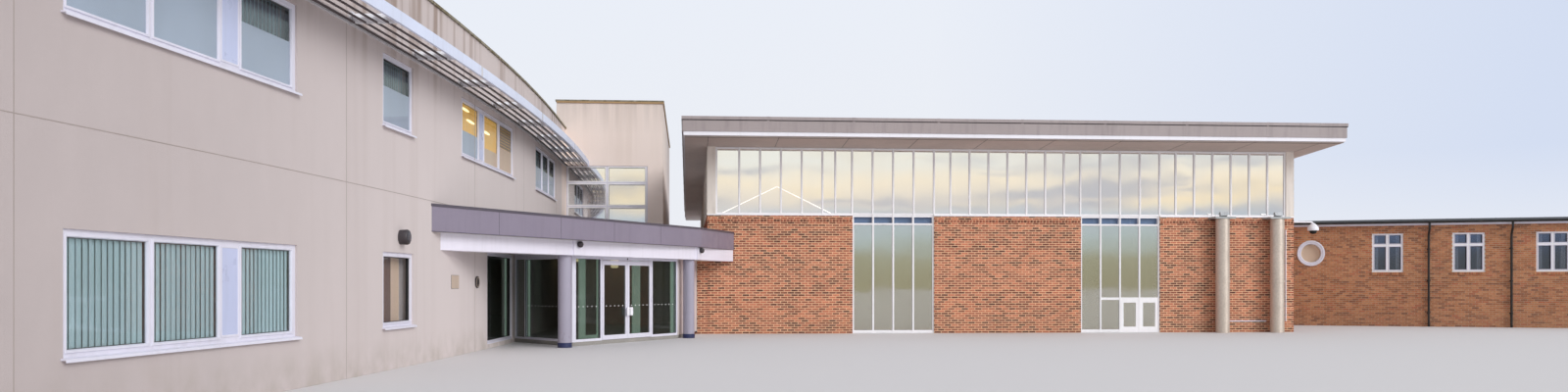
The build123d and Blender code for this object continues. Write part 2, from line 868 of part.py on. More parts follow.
with BuildPart() as wing_end_walls:
    arc_block(WING_NEAR_END, WING_NEAR_END + WALL, WALL, WING_DEPTH - WALL, 0, WING_TOP)
    block(
        WING_FACE_X - WING_DEPTH + WALL,
        WING_FACE_X - WALL,
        WING_STRAIGHT_END - WALL,
        WING_STRAIGHT_END,
        0,
        WING_TOP,
    )
write(wing_end_walls, "wing_end_walls")

# Wing: window frames and glass, front and back
# Each row of windows: the windows, its face's place behind the front, and the frames' place there
window_rows = (
    (windows, 0, GLASS_INSET, GLASS_INSET + FRAME_DEPTH),
    (
        back_windows,
        WING_DEPTH - WALL,
        WALL - GLASS_INSET - FRAME_DEPTH,
        WALL - GLASS_INSET - FRAME_DEPTH - GLASS,
    ),
)
with BuildPart() as wing_window_frames:
    for row, behind, frame_low, glass_low in window_rows:
        frame_high = frame_low + FRAME_DEPTH
        for left, width, sill, head, lights in row:
            plane = chord_plane(left, width, behind)
            line_block(plane, 0, width, frame_low, frame_high, sill, head)
            for low, high in lights:
                line_block(
                    plane,
                    low,
                    high,
                    frame_low,
                    frame_high,
                    sill + FRAME_BAR,
                    head - FRAME_BAR,
                    Mode.SUBTRACT,
                )
    y_low = BLOCK_FRONT_Y + GLASS_INSET
    y_high = y_low + FRAME_DEPTH
    block(
        BLOCK_GLAZING_LEFT,
        BLOCK_GLAZING_RIGHT,
        y_low,
        y_high,
        BLOCK_GLAZING_SILL,
        BLOCK_GLAZING_HEAD,
    )
    middle = (BLOCK_GLAZING_LEFT + BLOCK_GLAZING_RIGHT) / 2
    heights = (BLOCK_GLAZING_HEAD, *BLOCK_TRANSOMS, BLOCK_GLAZING_SILL)
    for high, low in zip(heights, heights[1:]):
        for left, right in (
            (BLOCK_GLAZING_LEFT + FRAME_BAR, middle - FRAME_BAR / 2),
            (middle + FRAME_BAR / 2, BLOCK_GLAZING_RIGHT - FRAME_BAR),
        ):
            block(
                left,
                right,
                y_low,
                y_high,
                low + FRAME_BAR / 2,
                high - FRAME_BAR / 2,
                Mode.SUBTRACT,
            )
write(wing_window_frames, "wing_window_frames")

with BuildPart() as wing_glass:
    for row, behind, frame_low, glass_low in window_rows:
        for left, width, sill, head, lights in row:
            plane = chord_plane(left, width, behind)
            line_block(plane, 0, width, glass_low, glass_low + GLASS, sill, head)
    block(
        BLOCK_GLAZING_LEFT,
        BLOCK_GLAZING_RIGHT,
        y_high,
        y_high + GLASS,
        BLOCK_GLAZING_SILL,
        BLOCK_GLAZING_HEAD,
    )
write(wing_glass, "wing_glass")

# Copings on the wing's parapet and the end block's
with BuildPart() as parapet_copings:
    low = WING_TOP
    high = WING_TOP + COPING_HEIGHT
    inner = WALL + COPING_LIP
    arc_block(WING_NEAR_END - COPING_LIP, 0, -COPING_LIP, inner, low, high)
    block(
        WING_FACE_X - inner,
        WING_FACE_X + COPING_LIP,
        WING_APEX_Y,
        BLOCK_FRONT_Y,
        low,
        high,
    )
    arc_block(
        WING_NEAR_END - COPING_LIP, 0, WING_DEPTH - inner, WING_DEPTH + COPING_LIP, low, high
    )
    block(
        WING_FACE_X - WING_DEPTH - COPING_LIP,
        WING_FACE_X - WING_DEPTH + inner,
        WING_APEX_Y,
        WING_STRAIGHT_END + COPING_LIP,
        low,
        high,
    )
    arc_block(
        WING_NEAR_END - COPING_LIP, WING_NEAR_END + inner, 0, WING_DEPTH, low, high
    )
    block(
        WING_FACE_X - WING_DEPTH,
        BLOCK_LEFT_X,
        WING_STRAIGHT_END - inner,
        WING_STRAIGHT_END + COPING_LIP,
        low,
        high,
    )
    low = BLOCK_TOP
    high = BLOCK_TOP + COPING_HEIGHT
    block(
        BLOCK_LEFT_X - COPING_LIP,
        BLOCK_RIGHT_X + COPING_LIP,
        BLOCK_FRONT_Y - COPING_LIP,
        block_back_y + COPING_LIP,
        low,
        high,
    )
    inner = WALL + COPING_LIP
    block(
        BLOCK_LEFT_X + inner,
        BLOCK_RIGHT_X - inner,
        BLOCK_FRONT_Y + inner,
        block_back_y - inner,
        low,
        high,
        Mode.SUBTRACT,
    )
write(parapet_copings, "parapet_copings")

# Sunshade: curved blades on radial brackets, closed by a front strip
first_gap = 3 / 4
last_gap = 3 / 4
blade_gap = (SHADE_REACH - SHADE_STRIP) / (SHADE_BLADES - 1 + first_gap + last_gap)
shade_end = BLOCK_FRONT_Y - WING_APEX_Y - SHADE_END_GAP


def blade_corners():
    """The blade's section: flat in the middle, with both edges tapered, tilted about its middle."""
    half_chord = BLADE_CHORD / 2
    flat = half_chord - BLADE_TAPER
    half_thickness = BLADE_THICKNESS / 2
    corners = (
        (-half_chord, 0),
        (-flat, half_thickness),
        (flat, half_thickness),
        (half_chord, 0),
        (flat, -half_thickness),
        (-flat, -half_thickness),
    )
    return [Vector(x, y).rotate(Axis.Z, BLADE_TILT) for x, y in corners]


def shade_blade(index):
    """A tilted blade whose section is swept along the wing's curve."""
    offset = blade_gap * (index + first_gap)
    first = WING_NEAR_END
    last = shade_end
    radius = WING_RADIUS + offset
    angle = degrees(first / WING_RADIUS)
    centre = Vector(*wing_centre, SHADE_HEIGHT + BRACKET_HEIGHT / 2)
    outward = Vector(cos(radians(angle)), sin(radians(angle)), 0)
    section_plane = Plane(
        origin=centre + outward * radius,
        x_dir=outward,
        z_dir=(-outward.Y, outward.X, 0),
    )
    with BuildSketch(section_plane) as section:
        with BuildLine():
            Polyline(*blade_corners(), close=True)
        make_face()
    axis = Axis(origin=centre, direction=(0, 0, 1))
    revolve(section.sketch, axis=axis, revolution_arc=degrees((last - first) / WING_RADIUS))


with BuildPart() as sunshade_blades:
    for index in range(SHADE_BLADES):
        shade_blade(index)
    for index in range(BRACKETS):
        middle = BRACKET_FIRST - BRACKET_PITCH * index
        arc_block(
            middle - BRACKET_WIDTH / 2,
            middle + BRACKET_WIDTH / 2,
            -SHADE_REACH + SHADE_STRIP,
            0,
            SHADE_HEIGHT,
            SHADE_HEIGHT + BRACKET_HEIGHT,
        )
    block(
        WING_FACE_X - WALL,
        WING_FACE_X,
        WING_APEX_Y,
        BLOCK_FRONT_Y,
        SHADE_HEIGHT,
        SHADE_HEIGHT + BRACKET_HEIGHT,
        Mode.SUBTRACT,
    )
write(sunshade_blades, "sunshade_blades")

strip_low = SHADE_HEIGHT - SHADE_STRIP_DROP
with BuildPart() as sunshade_strip:
    arc_block(
        WING_NEAR_END,
        shade_end,
        -SHADE_REACH,
        -SHADE_REACH + SHADE_STRIP,
        strip_low,
        strip_low + SHADE_STRIP_HEIGHT,
    )
write(sunshade_strip, "sunshade_strip")

# End block
with BuildPart() as block_front_wall:
    block(BLOCK_LEFT_X, BLOCK_RIGHT_X, BLOCK_FRONT_Y, BLOCK_FRONT_Y + WALL, 0, BLOCK_TOP)
    block(
        BLOCK_LEFT_X - WALL,
        WING_FACE_X,
        BLOCK_FRONT_Y - WALL,
        BLOCK_FRONT_Y + 2 * WALL,
        0,
        WING_TOP,
        Mode.SUBTRACT,
    )
    block(
        BLOCK_GLAZING_LEFT,
        BLOCK_GLAZING_RIGHT,
        BLOCK_FRONT_Y,
        BLOCK_FRONT_Y + WALL,
        BLOCK_GLAZING_SILL,
        BLOCK_GLAZING_HEAD,
        Mode.SUBTRACT,
    )
write(block_front_wall, "block_front_wall")

with BuildPart() as block_side_walls:
    block(
        BLOCK_RIGHT_X - WALL,
        BLOCK_RIGHT_X,
        BLOCK_FRONT_Y + WALL,
        block_back_y - WALL,
        0,
        BLOCK_TOP,
    )
    block(
        BLOCK_LEFT_X,
        BLOCK_LEFT_X + WALL,
        BLOCK_FRONT_Y + WALL,
        block_back_y - WALL,
        WING_TOP,
        BLOCK_TOP,
    )
write(block_side_walls, "block_side_walls")

with BuildPart() as block_back_wall:
    block(BLOCK_LEFT_X, BLOCK_RIGHT_X, block_back_y - WALL, block_back_y, 0, BLOCK_TOP)
    block(
        BLOCK_LEFT_X - WALL,
        WING_FACE_X,
        block_back_y - 2 * WALL,
        block_back_y + WALL,
        0,
        WING_TOP + COPING_HEIGHT,
        Mode.SUBTRACT,
    )
write(block_back_wall, "block_back_wall")

with BuildPart() as block_roof:
    block(
        BLOCK_LEFT_X + WALL,
        BLOCK_RIGHT_X - WALL,
        BLOCK_FRONT_Y + WALL,
        block_back_y - WALL,
        BLOCK_TOP - 2 * WING_ROOF_THICKNESS,
        BLOCK_TOP - WING_ROOF_THICKNESS,
    )
write(block_roof, "block_roof")


# Entrance: the two screen lines, each with its own plane
screen_plane = line_plane(SCREEN_CORNER, SCREEN_END)
screen_length = hypot(SCREEN_END[0] - SCREEN_CORNER[0], SCREEN_END[1] - SCREEN_CORNER[1])
return_plane = line_plane(SCREEN_WING_END, SCREEN_CORNER)
return_length = hypot(
    SCREEN_WING_END[0] - SCREEN_CORNER[0], SCREEN_WING_END[1] - SCREEN_CORNER[1]
)
door_right = DOOR_LEFT + DOOR_OPENING


# The leaves turn about their outer edges, just in front of the screen's face
leaf_width = (DOOR_OPENING - 3 * DOOR_CLEARANCE) / 2
leaf_low = SLAB + DOOR_CLEARANCE
leaf_high = DOOR_HEIGHT - DOOR_CLEARANCE
leaf_lefts = (DOOR_LEFT + DOOR_CLEARANCE, DOOR_LEFT + 2 * DOOR_CLEARANCE + leaf_width)
pivot_places = (leaf_lefts[0], leaf_lefts[1] + leaf_width)
pivot_y = -HINGE_RADIUS - HINGE_SETOFF


def hinge_part(x, side, z):
    """Half a hinge: a barrel on the pivot and the strap that carries it, to one side of x."""
    with BuildSketch(screen_plane.offset(z)) as barrel:
        with Locations((x, pivot_y)):
            RegularPolygon(HINGE_RADIUS, HINGE_SIDES)
    extrude(barrel.sketch, amount=HINGE_LENGTH)
    strap = (x + side * DOOR_CLEARANCE, x + side * HINGE_STRAP)
    line_block(screen_plane, min(strap), max(strap), pivot_y, 0, z, z + HINGE_LENGTH)


def court_outline(front):
    """The plan shared by the lobby's floor and the canopy behind their front line."""
    return Polyline(
        *front,
        (hall_left, hall_front),
        (hall_left, LINK_BACK_Y),
        (BLOCK_RIGHT_X, LINK_BACK_Y),
        (BLOCK_RIGHT_X, BLOCK_FRONT_Y),
        (WING_FACE_X - WALL, BLOCK_FRONT_Y),
        (WING_FACE_X - WALL, WING_APEX_Y),
        (front[0][0] - WALL, front[0][1]),
        close=True,
    )


def clear_of_wing():
    """Takes away what lies behind the wing's curved face."""
    arc_block(WING_NEAR_END, 0, 0, WING_DEPTH, 0, WING_TOP, Mode.SUBTRACT)
    block(
        WING_FACE_X - WALL, WING_FACE_X, WING_APEX_Y, BLOCK_FRONT_Y, 0, WING_TOP, Mode.SUBTRACT
    )


with BuildPart() as lobby_floor:
    with BuildSketch():
        with BuildLine():
            court_outline((SCREEN_WING_END, SCREEN_CORNER, SCREEN_END, (PIER_LEFT, hall_front)))
        make_face()
    extrude(amount=SLAB)
    clear_of_wing()
    block(PIER_LEFT, hall_left, hall_front, hall_front + WALL, 0, SLAB, Mode.SUBTRACT)
    block(
        WING_FACE_X, BLOCK_RIGHT_X - WALL, BLOCK_FRONT_Y + WALL, block_back_y - WALL, 0, SLAB
    )
write(lobby_floor, "lobby_floor")

roof_top = CANOPY_HIGH - CANOPY_EDGE
screen_high = SCREEN_HEIGHT - FRAME_BAR
screen_low = SLAB + FRAME_BAR
beam_line = (BEAM_WING_END, POST_A, POST_B, (BEAM_HALL_END, hall_front))

with BuildPart() as entrance_screen_frame:
    line_block(screen_plane, 0, screen_length, 0, FRAME_DEPTH, SLAB, SCREEN_HEIGHT)
    for left, right in (
        (CORNER_POST, DOOR_LEFT - FRAME_BAR),
        (door_right + FRAME_BAR, screen_length - FRAME_BAR),
    ):
        line_block(
            screen_plane, left, right, 0, FRAME_DEPTH, screen_low, screen_high, Mode.SUBTRACT
        )
    line_block(screen_plane, DOOR_LEFT, door_right, 0, FRAME_DEPTH, SLAB, DOOR_HEIGHT, Mode.SUBTRACT)
    line_block(return_plane, 0, return_length, 0, FRAME_DEPTH, SLAB, CANOPY_LOW)
    line_block(
        return_plane,
        FRAME_BAR,
        return_length - CORNER_POST,
        0,
        FRAME_DEPTH,
        screen_low,
        screen_high,
        Mode.SUBTRACT,
    )
    clear_of_wing()
    with BuildSketch(Plane.XY.offset(BEAM_LOW)):
        with BuildLine():
            Polyline(*beam_line)
        trace(line_width=BEAM_DEPTH)
    extrude(amount=CANOPY_LOW - BEAM_LOW, mode=Mode.SUBTRACT)
    for hinge_x, side in zip(pivot_places, (-1, 1)):
        for height in HINGE_HEIGHTS:
            hinge_part(hinge_x, side, height)
write(entrance_screen_frame, "entrance_screen_frame")

pane_low = (FRAME_DEPTH - GLASS) / 2
with BuildPart() as entrance_glass:
    for left, right in (
        (CORNER_POST, DOOR_LEFT - FRAME_BAR),
        (door_right + FRAME_BAR, screen_length - FRAME_BAR),
    ):
        line_block(
            screen_plane, left, right, pane_low, pane_low + GLASS, screen_low, screen_high
        )
    line_block(
        return_plane,
        FRAME_BAR,
        return_length - CORNER_POST,
        pane_low,
        pane_low + GLASS,
        screen_low,
        screen_high,
    )
    clear_of_wing()
write(entrance_glass, "entrance_glass")

# Entrance doors: two leaves that open outwards, with pull handles at the meeting stiles
def handle(x, y_face, side):
    """A vertical pull bar on two stand-offs in front of a face of the leaf."""
    y = y_face + side * HANDLE_STANDOFF
    base = screen_plane.offset(HANDLE_HEIGHT)
    with BuildSketch(base) as bar:
        with Locations((x, y)):
            RegularPolygon(HANDLE_RADIUS, HANDLE_SIDES)
    extrude(bar.sketch, amount=HANDLE_LENGTH)
    low = min(y_face, y)
    for z in (HANDLE_HEIGHT, HANDLE_HEIGHT + HANDLE_LENGTH - HANDLE_RADIUS):
        line_block(
            screen_plane,
            x - HANDLE_RADIUS / 2,
            x + HANDLE_RADIUS / 2,
            low,
            low + HANDLE_STANDOFF,
            z,
            z + HANDLE_RADIUS,
        )


for name, leaf_left, side in (("left", leaf_lefts[0], -1), ("right", leaf_lefts[1], 1)):
    leaf_right = leaf_left + leaf_width
    light = (
        leaf_left + DOOR_STILE,
        leaf_right - DOOR_STILE,
        leaf_low + DOOR_RAIL,
        leaf_high - DOOR_RAIL,
    )
    with BuildPart() as leaf:
        line_block(screen_plane, leaf_left, leaf_right, 0, DOOR_THICKNESS, leaf_low, leaf_high)
        line_block(
            screen_plane, light[0], light[1], 0, DOOR_THICKNESS, light[2], light[3], Mode.SUBTRACT
        )
        handle_x = leaf_right - DOOR_STILE / 2 if side < 0 else leaf_left + DOOR_STILE / 2
        handle(handle_x, 0, -1)
        handle(handle_x, DOOR_THICKNESS, 1)
        hinge_x = leaf_left if side < 0 else leaf_right
        for height in HINGE_HEIGHTS:
            hinge_part(hinge_x, -side, height + HINGE_LENGTH + HINGE_GAP)
    write(leaf, f"door_{name}")
    with BuildPart() as leaf_glass:
        y_low = (DOOR_THICKNESS - DOOR_GLASS) / 2
        line_block(
            screen_plane, light[0], light[1], y_low, y_low + DOOR_GLASS, light[2], light[3]
        )
    write(leaf_glass, f"door_{name}_glass")

# Entrance: round posts with base collars
with BuildPart() as entrance_posts:
    for place in (POST_A, POST_B):
        with BuildSketch():
            with Locations(place):
                Circle(POST_RADIUS)
        extrude(amount=BEAM_LOW)
        with BuildSketch():
            with Locations(place):
                Circle(POST_RADIUS + POST_BASE_LIP)
        extrude(amount=POST_BASE)
write(entrance_posts, "entrance_posts")

# Entrance: the canopy's boxed beam over the posts, its fascia and its roof
with BuildPart() as canopy_beam:
    with BuildSketch(Plane.XY.offset(BEAM_LOW)):
        with BuildLine():
            Polyline(*beam_line)
        trace(line_width=BEAM_DEPTH)
    extrude(amount=CANOPY_LOW - BEAM_LOW)
    for place in (POST_A, POST_B):
        box_plane = line_plane(place, POST_B if place == POST_A else beam_line[3])
        line_block(
            box_plane,
            0,
            BEAM_BOX,
            -BEAM_DEPTH / 2 - BEAM_BOX_LIP,
            0,
            BEAM_LOW,
            CANOPY_LOW,
        )
    clear_of_wing()
    block(hall_left, hall_right, hall_front, hall_back, 0, HALL_SILL, Mode.SUBTRACT)
write(canopy_beam, "canopy_beam")

canopy_front = (CANOPY_WING_END, CANOPY_BEND, (CANOPY_HALL_END, hall_front))
with BuildPart() as canopy_fascia:
    with BuildSketch(Plane.XY.offset(CANOPY_LOW)):
        with BuildLine():
            Polyline(*canopy_front)
        trace(line_width=2 * FASCIA_BOARD)
    extrude(amount=CANOPY_HIGH - CANOPY_LOW)
    with BuildSketch(Plane.XY.offset(CANOPY_LOW)):
        with BuildLine():
            court_outline(canopy_front)
        make_face()
    extrude(amount=CANOPY_HIGH - CANOPY_LOW, mode=Mode.INTERSECT)
    clear_of_wing()
write(canopy_fascia, "canopy_fascia")

with BuildPart() as canopy_roof:
    with BuildSketch(Plane.XY.offset(CANOPY_LOW)):
        with BuildLine():
            court_outline(canopy_front)
        make_face()
    extrude(amount=roof_top - CANOPY_LOW)
    with BuildSketch(Plane.XY.offset(CANOPY_LOW)):
        with BuildLine():
            Polyline(*canopy_front)
        trace(line_width=2 * FASCIA_BOARD)
    extrude(amount=roof_top - CANOPY_LOW, mode=Mode.SUBTRACT)
    clear_of_wing()
write(canopy_roof, "canopy_roof")

# Entrance: the rendered wall between the screen and the hall's brick pier, and the wall that
# closes the link behind it
side_plane = line_plane(SCREEN_END, (PIER_LEFT + LOBBY_WALL / 2, hall_front))
side_length = hypot(PIER_LEFT + LOBBY_WALL / 2 - SCREEN_END[0], hall_front - SCREEN_END[1])
with BuildPart() as lobby_walls:
    line_block(side_plane, 0, side_length, 0, LOBBY_WALL, SLAB, CANOPY_LOW)
    with BuildSketch(Plane.XY.offset(BEAM_LOW)):
        with BuildLine():
            Polyline(*beam_line)
        trace(line_width=BEAM_DEPTH)
    extrude(amount=CANOPY_LOW - BEAM_LOW, mode=Mode.SUBTRACT)
    line_block(screen_plane, 0, screen_length, 0, FRAME_DEPTH, 0, SCREEN_HEIGHT, Mode.SUBTRACT)
    block(hall_left - WING_DEPTH, hall_right, hall_front, hall_back, 0, HALL_SILL, Mode.SUBTRACT)
    block(BLOCK_RIGHT_X, hall_left, LINK_BACK_Y, LINK_BACK_Y + WALL, 0, roof_top)
write(lobby_walls, "lobby_walls")
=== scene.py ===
import math
import random

import bmesh
import bpy
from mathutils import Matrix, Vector


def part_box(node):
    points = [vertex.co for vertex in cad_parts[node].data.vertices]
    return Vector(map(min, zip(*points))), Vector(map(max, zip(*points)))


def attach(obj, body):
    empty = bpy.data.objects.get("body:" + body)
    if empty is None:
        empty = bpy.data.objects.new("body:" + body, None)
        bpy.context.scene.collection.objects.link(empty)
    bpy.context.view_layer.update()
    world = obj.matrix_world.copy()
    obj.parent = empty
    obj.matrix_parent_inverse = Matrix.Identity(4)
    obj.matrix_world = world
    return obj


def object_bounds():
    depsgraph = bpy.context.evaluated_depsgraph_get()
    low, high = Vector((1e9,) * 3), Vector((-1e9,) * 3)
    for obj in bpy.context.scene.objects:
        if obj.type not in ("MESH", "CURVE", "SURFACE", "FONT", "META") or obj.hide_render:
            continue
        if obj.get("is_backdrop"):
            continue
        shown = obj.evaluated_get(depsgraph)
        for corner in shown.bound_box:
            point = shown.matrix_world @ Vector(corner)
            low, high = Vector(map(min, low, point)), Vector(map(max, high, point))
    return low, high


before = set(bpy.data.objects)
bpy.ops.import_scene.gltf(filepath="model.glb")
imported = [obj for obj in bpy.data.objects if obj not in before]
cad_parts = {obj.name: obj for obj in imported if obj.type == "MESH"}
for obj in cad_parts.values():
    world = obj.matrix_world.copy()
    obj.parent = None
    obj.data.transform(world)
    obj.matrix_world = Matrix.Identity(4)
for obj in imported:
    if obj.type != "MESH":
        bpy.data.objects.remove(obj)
cad_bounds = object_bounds()
draws = random.Random(11)
HORIZON = (236, 238, 243)
SKY = (
    (0.0, (160, 154, 122)),
    (0.08, (168, 166, 138)),
    (0.16, (190, 204, 204)),
    (0.22, (196, 208, 218)),
    (0.27, (226, 220, 212)),
    (0.34, (255, 244, 220)),
    (0.41, (244, 246, 238)),
    (1.0, (224, 234, 246)),
)


# Camera, floor, world and lights
def add_object(name, data):
    made = bpy.data.objects.new(name, data)
    bpy.context.scene.collection.objects.link(made)
    return made


def add_camera():
    data = bpy.data.cameras.new("camera")
    data.sensor_width = 36
    data.lens = 27.14
    data.shift_y = 0.05625
    data.clip_end = 500
    camera = add_object("camera", data)
    camera.location = (-0.375, -19.125, 0.8)
    camera.rotation_euler = (math.radians(90), 0, math.radians(-4.61))
    bpy.context.scene.camera = camera
    bpy.context.scene.view_settings.view_transform = "Standard"


def srgb(red, green, blue):
    """An sRGB colour of 0 to 255 as the linear colour that a shader takes."""
    parts = [part / 255 for part in (red, green, blue)]
    linear = [p / 12.92 if p <= 0.04045 else ((p + 0.055) / 1.055) ** 2.4 for p in parts]
    return (*linear, 1)


class Nodes:
    """Short calls for the nodes of a material or of the world."""

    def __init__(self, tree):
        self.tree = tree

    def node(self, kind, inputs=(), **properties):
        made = self.tree.nodes.new("ShaderNode" + kind)
        for name, value in properties.items():
            setattr(made, name, value)
        for key, value in dict(inputs).items():
            if isinstance(value, bpy.types.NodeSocket):
                self.tree.links.new(value, made.inputs[key])
            else:
                made.inputs[key].default_value = value
        return made

    def math(self, operation, first, second):
        return self.node("Math", {0: first, 1: second}, operation=operation).outputs[0]

    def times(self, first, *others):
        for other in others:
            first = self.math("MULTIPLY", first, other)
        return first

    def mix(self, factor, first, second, blend="MIX"):
        inputs = {0: factor, 6: first, 7: second}
        return self.node("Mix", inputs, data_type="RGBA", blend_type=blend).outputs[2]

    def between(self, value, low, high, to_low=0.0, to_high=1.0):
        """Carries value from the stretch low to high over to another one, and stops at its ends."""
        inputs = {0: value, 1: low, 2: high, 3: to_low, 4: to_high}
        return self.node("MapRange", inputs).outputs[0]

    def ramp(self, value, stops):
        """The colour at value, between sRGB stops."""
        made = self.node("ValToRGB", {0: value})
        elements = made.color_ramp.elements
        while len(elements) < len(stops):
            elements.new(0.5)
        for element, (place, colour) in zip(elements, stops):
            element.position = place
            element.color = srgb(*colour)
        return made.outputs[0]

    def noise(self, place, scale, stretch=(1, 1, 1), detail=4.0):
        mapped = self.node("Mapping", {"Vector": place, "Scale": stretch}).outputs[0]
        inputs = {"Vector": mapped, "Scale": scale, "Detail": detail}
        return self.node("TexNoise", inputs).outputs[0]


class Finish(Nodes):
    """A material: a Principled shader, with its colour, roughness and relief from nodes."""

    def __init__(self, name, colour, roughness, **sockets):
        self.material = bpy.data.materials.new(name)
        self.material.use_nodes = True
        super().__init__(self.material.node_tree)
        self.shader = self.tree.nodes["Principled BSDF"]
        self.colour = srgb(*colour)
        sockets = {"Base_Color": self.colour, "Roughness": roughness, **sockets}
        for key, value in sockets.items():
            self.shader.inputs[key.replace("_", " ")].default_value = value
        self.place = self.node("TexCoord").outputs["Object"]
        self.axes = self.node("SeparateXYZ", {0: self.place}).outputs

    def grain(self, scale, stretch=(1, 1, 1), detail=4.0):
        return self.noise(self.place, scale, stretch, detail)

    def link(self, value, socket):
        self.tree.links.new(value, self.shader.inputs[socket])

    def paint(self, colour):
        self.colour = colour
        self.link(colour, "Base Color")

    def stain(self, amount, colour, share=1.0):
        """Lays share of an sRGB colour over what is there, where amount is above nothing."""
        self.paint(self.mix(self.times(amount, share), self.colour, srgb(*colour)))

    def shade(self, grey):
        """Multiplies the colour by a grey."""
        tint = self.node("CombineColor", {0: grey, 1: grey, 2: grey}).outputs[0]
        self.paint(self.mix(1.0, self.colour, tint, "MULTIPLY"))

    def mottle(self, scale, darkest, lightest, stretch=(1, 1, 1)):
        """Makes the colour a little darker and lighter from place to place."""
        self.shade(self.between(self.grain(scale, stretch), 0.3, 0.7, darkest, lightest))

    def dull(self, scale, low, high, stretch=(1, 1, 1)):
        self.link(self.between(self.grain(scale, stretch), 0.3, 0.7, low, high), "Roughness")

    def relief(self, height, depth):
        bump = self.node("Bump", {"Height": height, "Distance": depth})
        self.link(bump.outputs[0], "Normal")

    def up(self):
        """The upward part of the surface's own direction: 1 on a top, -1 on an underside."""
        normal = self.node("NewGeometry").outputs["Normal"]
        return self.node("SeparateXYZ", {0: normal}).outputs[2]


def add_world():
    """Plain light for the object, and a pale sky with low clouds for the camera and the glass."""
    world = bpy.data.worlds.new("sky")
    bpy.context.scene.world = world
    world.use_nodes = True
    nodes = Nodes(world.node_tree)
    between = nodes.between
    background = world.node_tree.nodes["Background"].inputs
    direction = nodes.node("TexCoord").outputs["Generated"]
    across, _, height = nodes.node("SeparateXYZ", {0: direction}).outputs
    plain = nodes.ramp(between(height, 0.0, 0.35), ((0, HORIZON), (1, (233, 239, 250))))
    bluer = nodes.times(between(across, 0.2, 0.6), between(height, 0.01, 0.1))
    plain = nodes.mix(bluer, plain, srgb(212, 222, 242))
    sky = nodes.ramp(between(height, 0.0, 0.25), SKY)
    bank = between(nodes.noise(direction, 4.0, (1, 1, 7), 6.0), 0.45, 0.58)
    clouds = nodes.times(bank, between(height, 0.125, 0.075), between(height, 0.055, 0.07))
    sky = nodes.mix(clouds, sky, srgb(255, 238, 200))
    wisp = between(nodes.noise(direction, 7.0, (1, 1, 9), 5.0), 0.5, 0.62)
    shade = nodes.times(wisp, between(height, 0.05, 0.06), between(height, 0.12, 0.09), 0.75)
    sky = nodes.mix(shade, sky, srgb(176, 182, 196))
    path = nodes.node("LightPath").outputs
    mirrored = path["Is Glossy Ray"]
    seen = nodes.math("MAXIMUM", path["Is Camera Ray"], path["Is Transmission Ray"])
    direct = nodes.math("MAXIMUM", seen, mirrored)
    lit = nodes.mix(direct, srgb(238, 240, 246), plain)
    nodes.tree.links.new(nodes.mix(mirrored, lit, sky), background["Color"])
    nodes.tree.links.new(between(direct, 0, 1, 0.72, 1.0), background["Strength"])


def add_sun():
    data = bpy.data.lights.new("sun", "SUN")
    data.energy = 1.62
    data.angle = math.radians(32)
    sun = add_object("sun", data)
    sun.rotation_euler = Vector((0.58, -0.66, 0.42)).to_track_quat("Z", "Y").to_euler()


def add_floor():
    """A pale floor that fades into the sky's lowest colour far away."""
    size = 160
    mesh = bpy.data.meshes.new("floor")
    corners = [(x * size, y * size, -0.001) for x, y in ((-1, -1), (1, -1), (1, 1), (-1, 1))]
    mesh.from_pydata(corners, [], [(0, 1, 2, 3)])
    floor = add_object("floor", mesh)
    finish = Finish("floor", (222, 219, 219), 0.9)
    mirrored = finish.node("LightPath").outputs["Is Glossy Ray"]
    finish.stain(mirrored, (176, 168, 150))
    far = finish.node("VectorMath", {0: finish.place}, operation="LENGTH").outputs["Value"]
    glow = finish.node("Emission", {"Color": srgb(*HORIZON)}).outputs[0]
    output = finish.tree.nodes["Material Output"]
    fade = finish.times(finish.between(far, 35, 90), finish.math("SUBTRACT", 1.0, mirrored))
    inputs = {0: fade, 1: finish.shader.outputs[0], 2: glow}
    finish.tree.links.new(finish.node("MixShader", inputs).outputs[0], output.inputs[0])
    mesh.materials.append(finish.material)
    floor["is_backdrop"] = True


add_camera()
add_world()
add_sun()
add_floor()


# Places: each maps (along, inward, up) to the model's own coordinates
def level(x, y, z):
    return Vector((x, y, z))


def line_place(start, end):
    """A straight line in plan: x runs along it, y to its left."""
    origin = Vector(start[:2])
    along = (Vector(end[:2]) - origin).normalized()

    def place(x, y, z):
        spot = origin + along * x + Vector((-along.y, along.x)) * y
        return Vector((*spot, z))

    return place


WING_RADIUS = 99.8
WING_DEPTH = 5.0
WALL = 0.15
WING_NEAR_END = -18.7
wing_face_x, _, wing_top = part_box("wing_shared_wall")[1]
wing_apex_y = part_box("wing_shared_wall")[0].y


def wing(along, behind, z):
    """The wing's face: curved up to the point where it runs parallel to Y, and straight after."""
    if along > 0:
        return Vector((wing_face_x - behind, wing_apex_y + along, z))
    angle = along / WING_RADIUS
    radius = WING_RADIUS - behind
    x = wing_face_x - WING_RADIUS + radius * math.cos(angle)
    return Vector((x, wing_apex_y + radius * math.sin(angle), z))


def wing_line(left, width, behind=0):
    """The straight line between two points of the wing's face."""
    return line_place(wing(left, behind, 0), wing(left + width, behind, 0))


def oblong(low, high, bottom, top):
    """The corners of a rectangle."""
    return ((low, bottom), (high, bottom), (high, top), (low, top))


def turns(sides):
    """The angles at which a round shape has its corners."""
    return [2 * math.pi * k / sides for k in range(sides)]


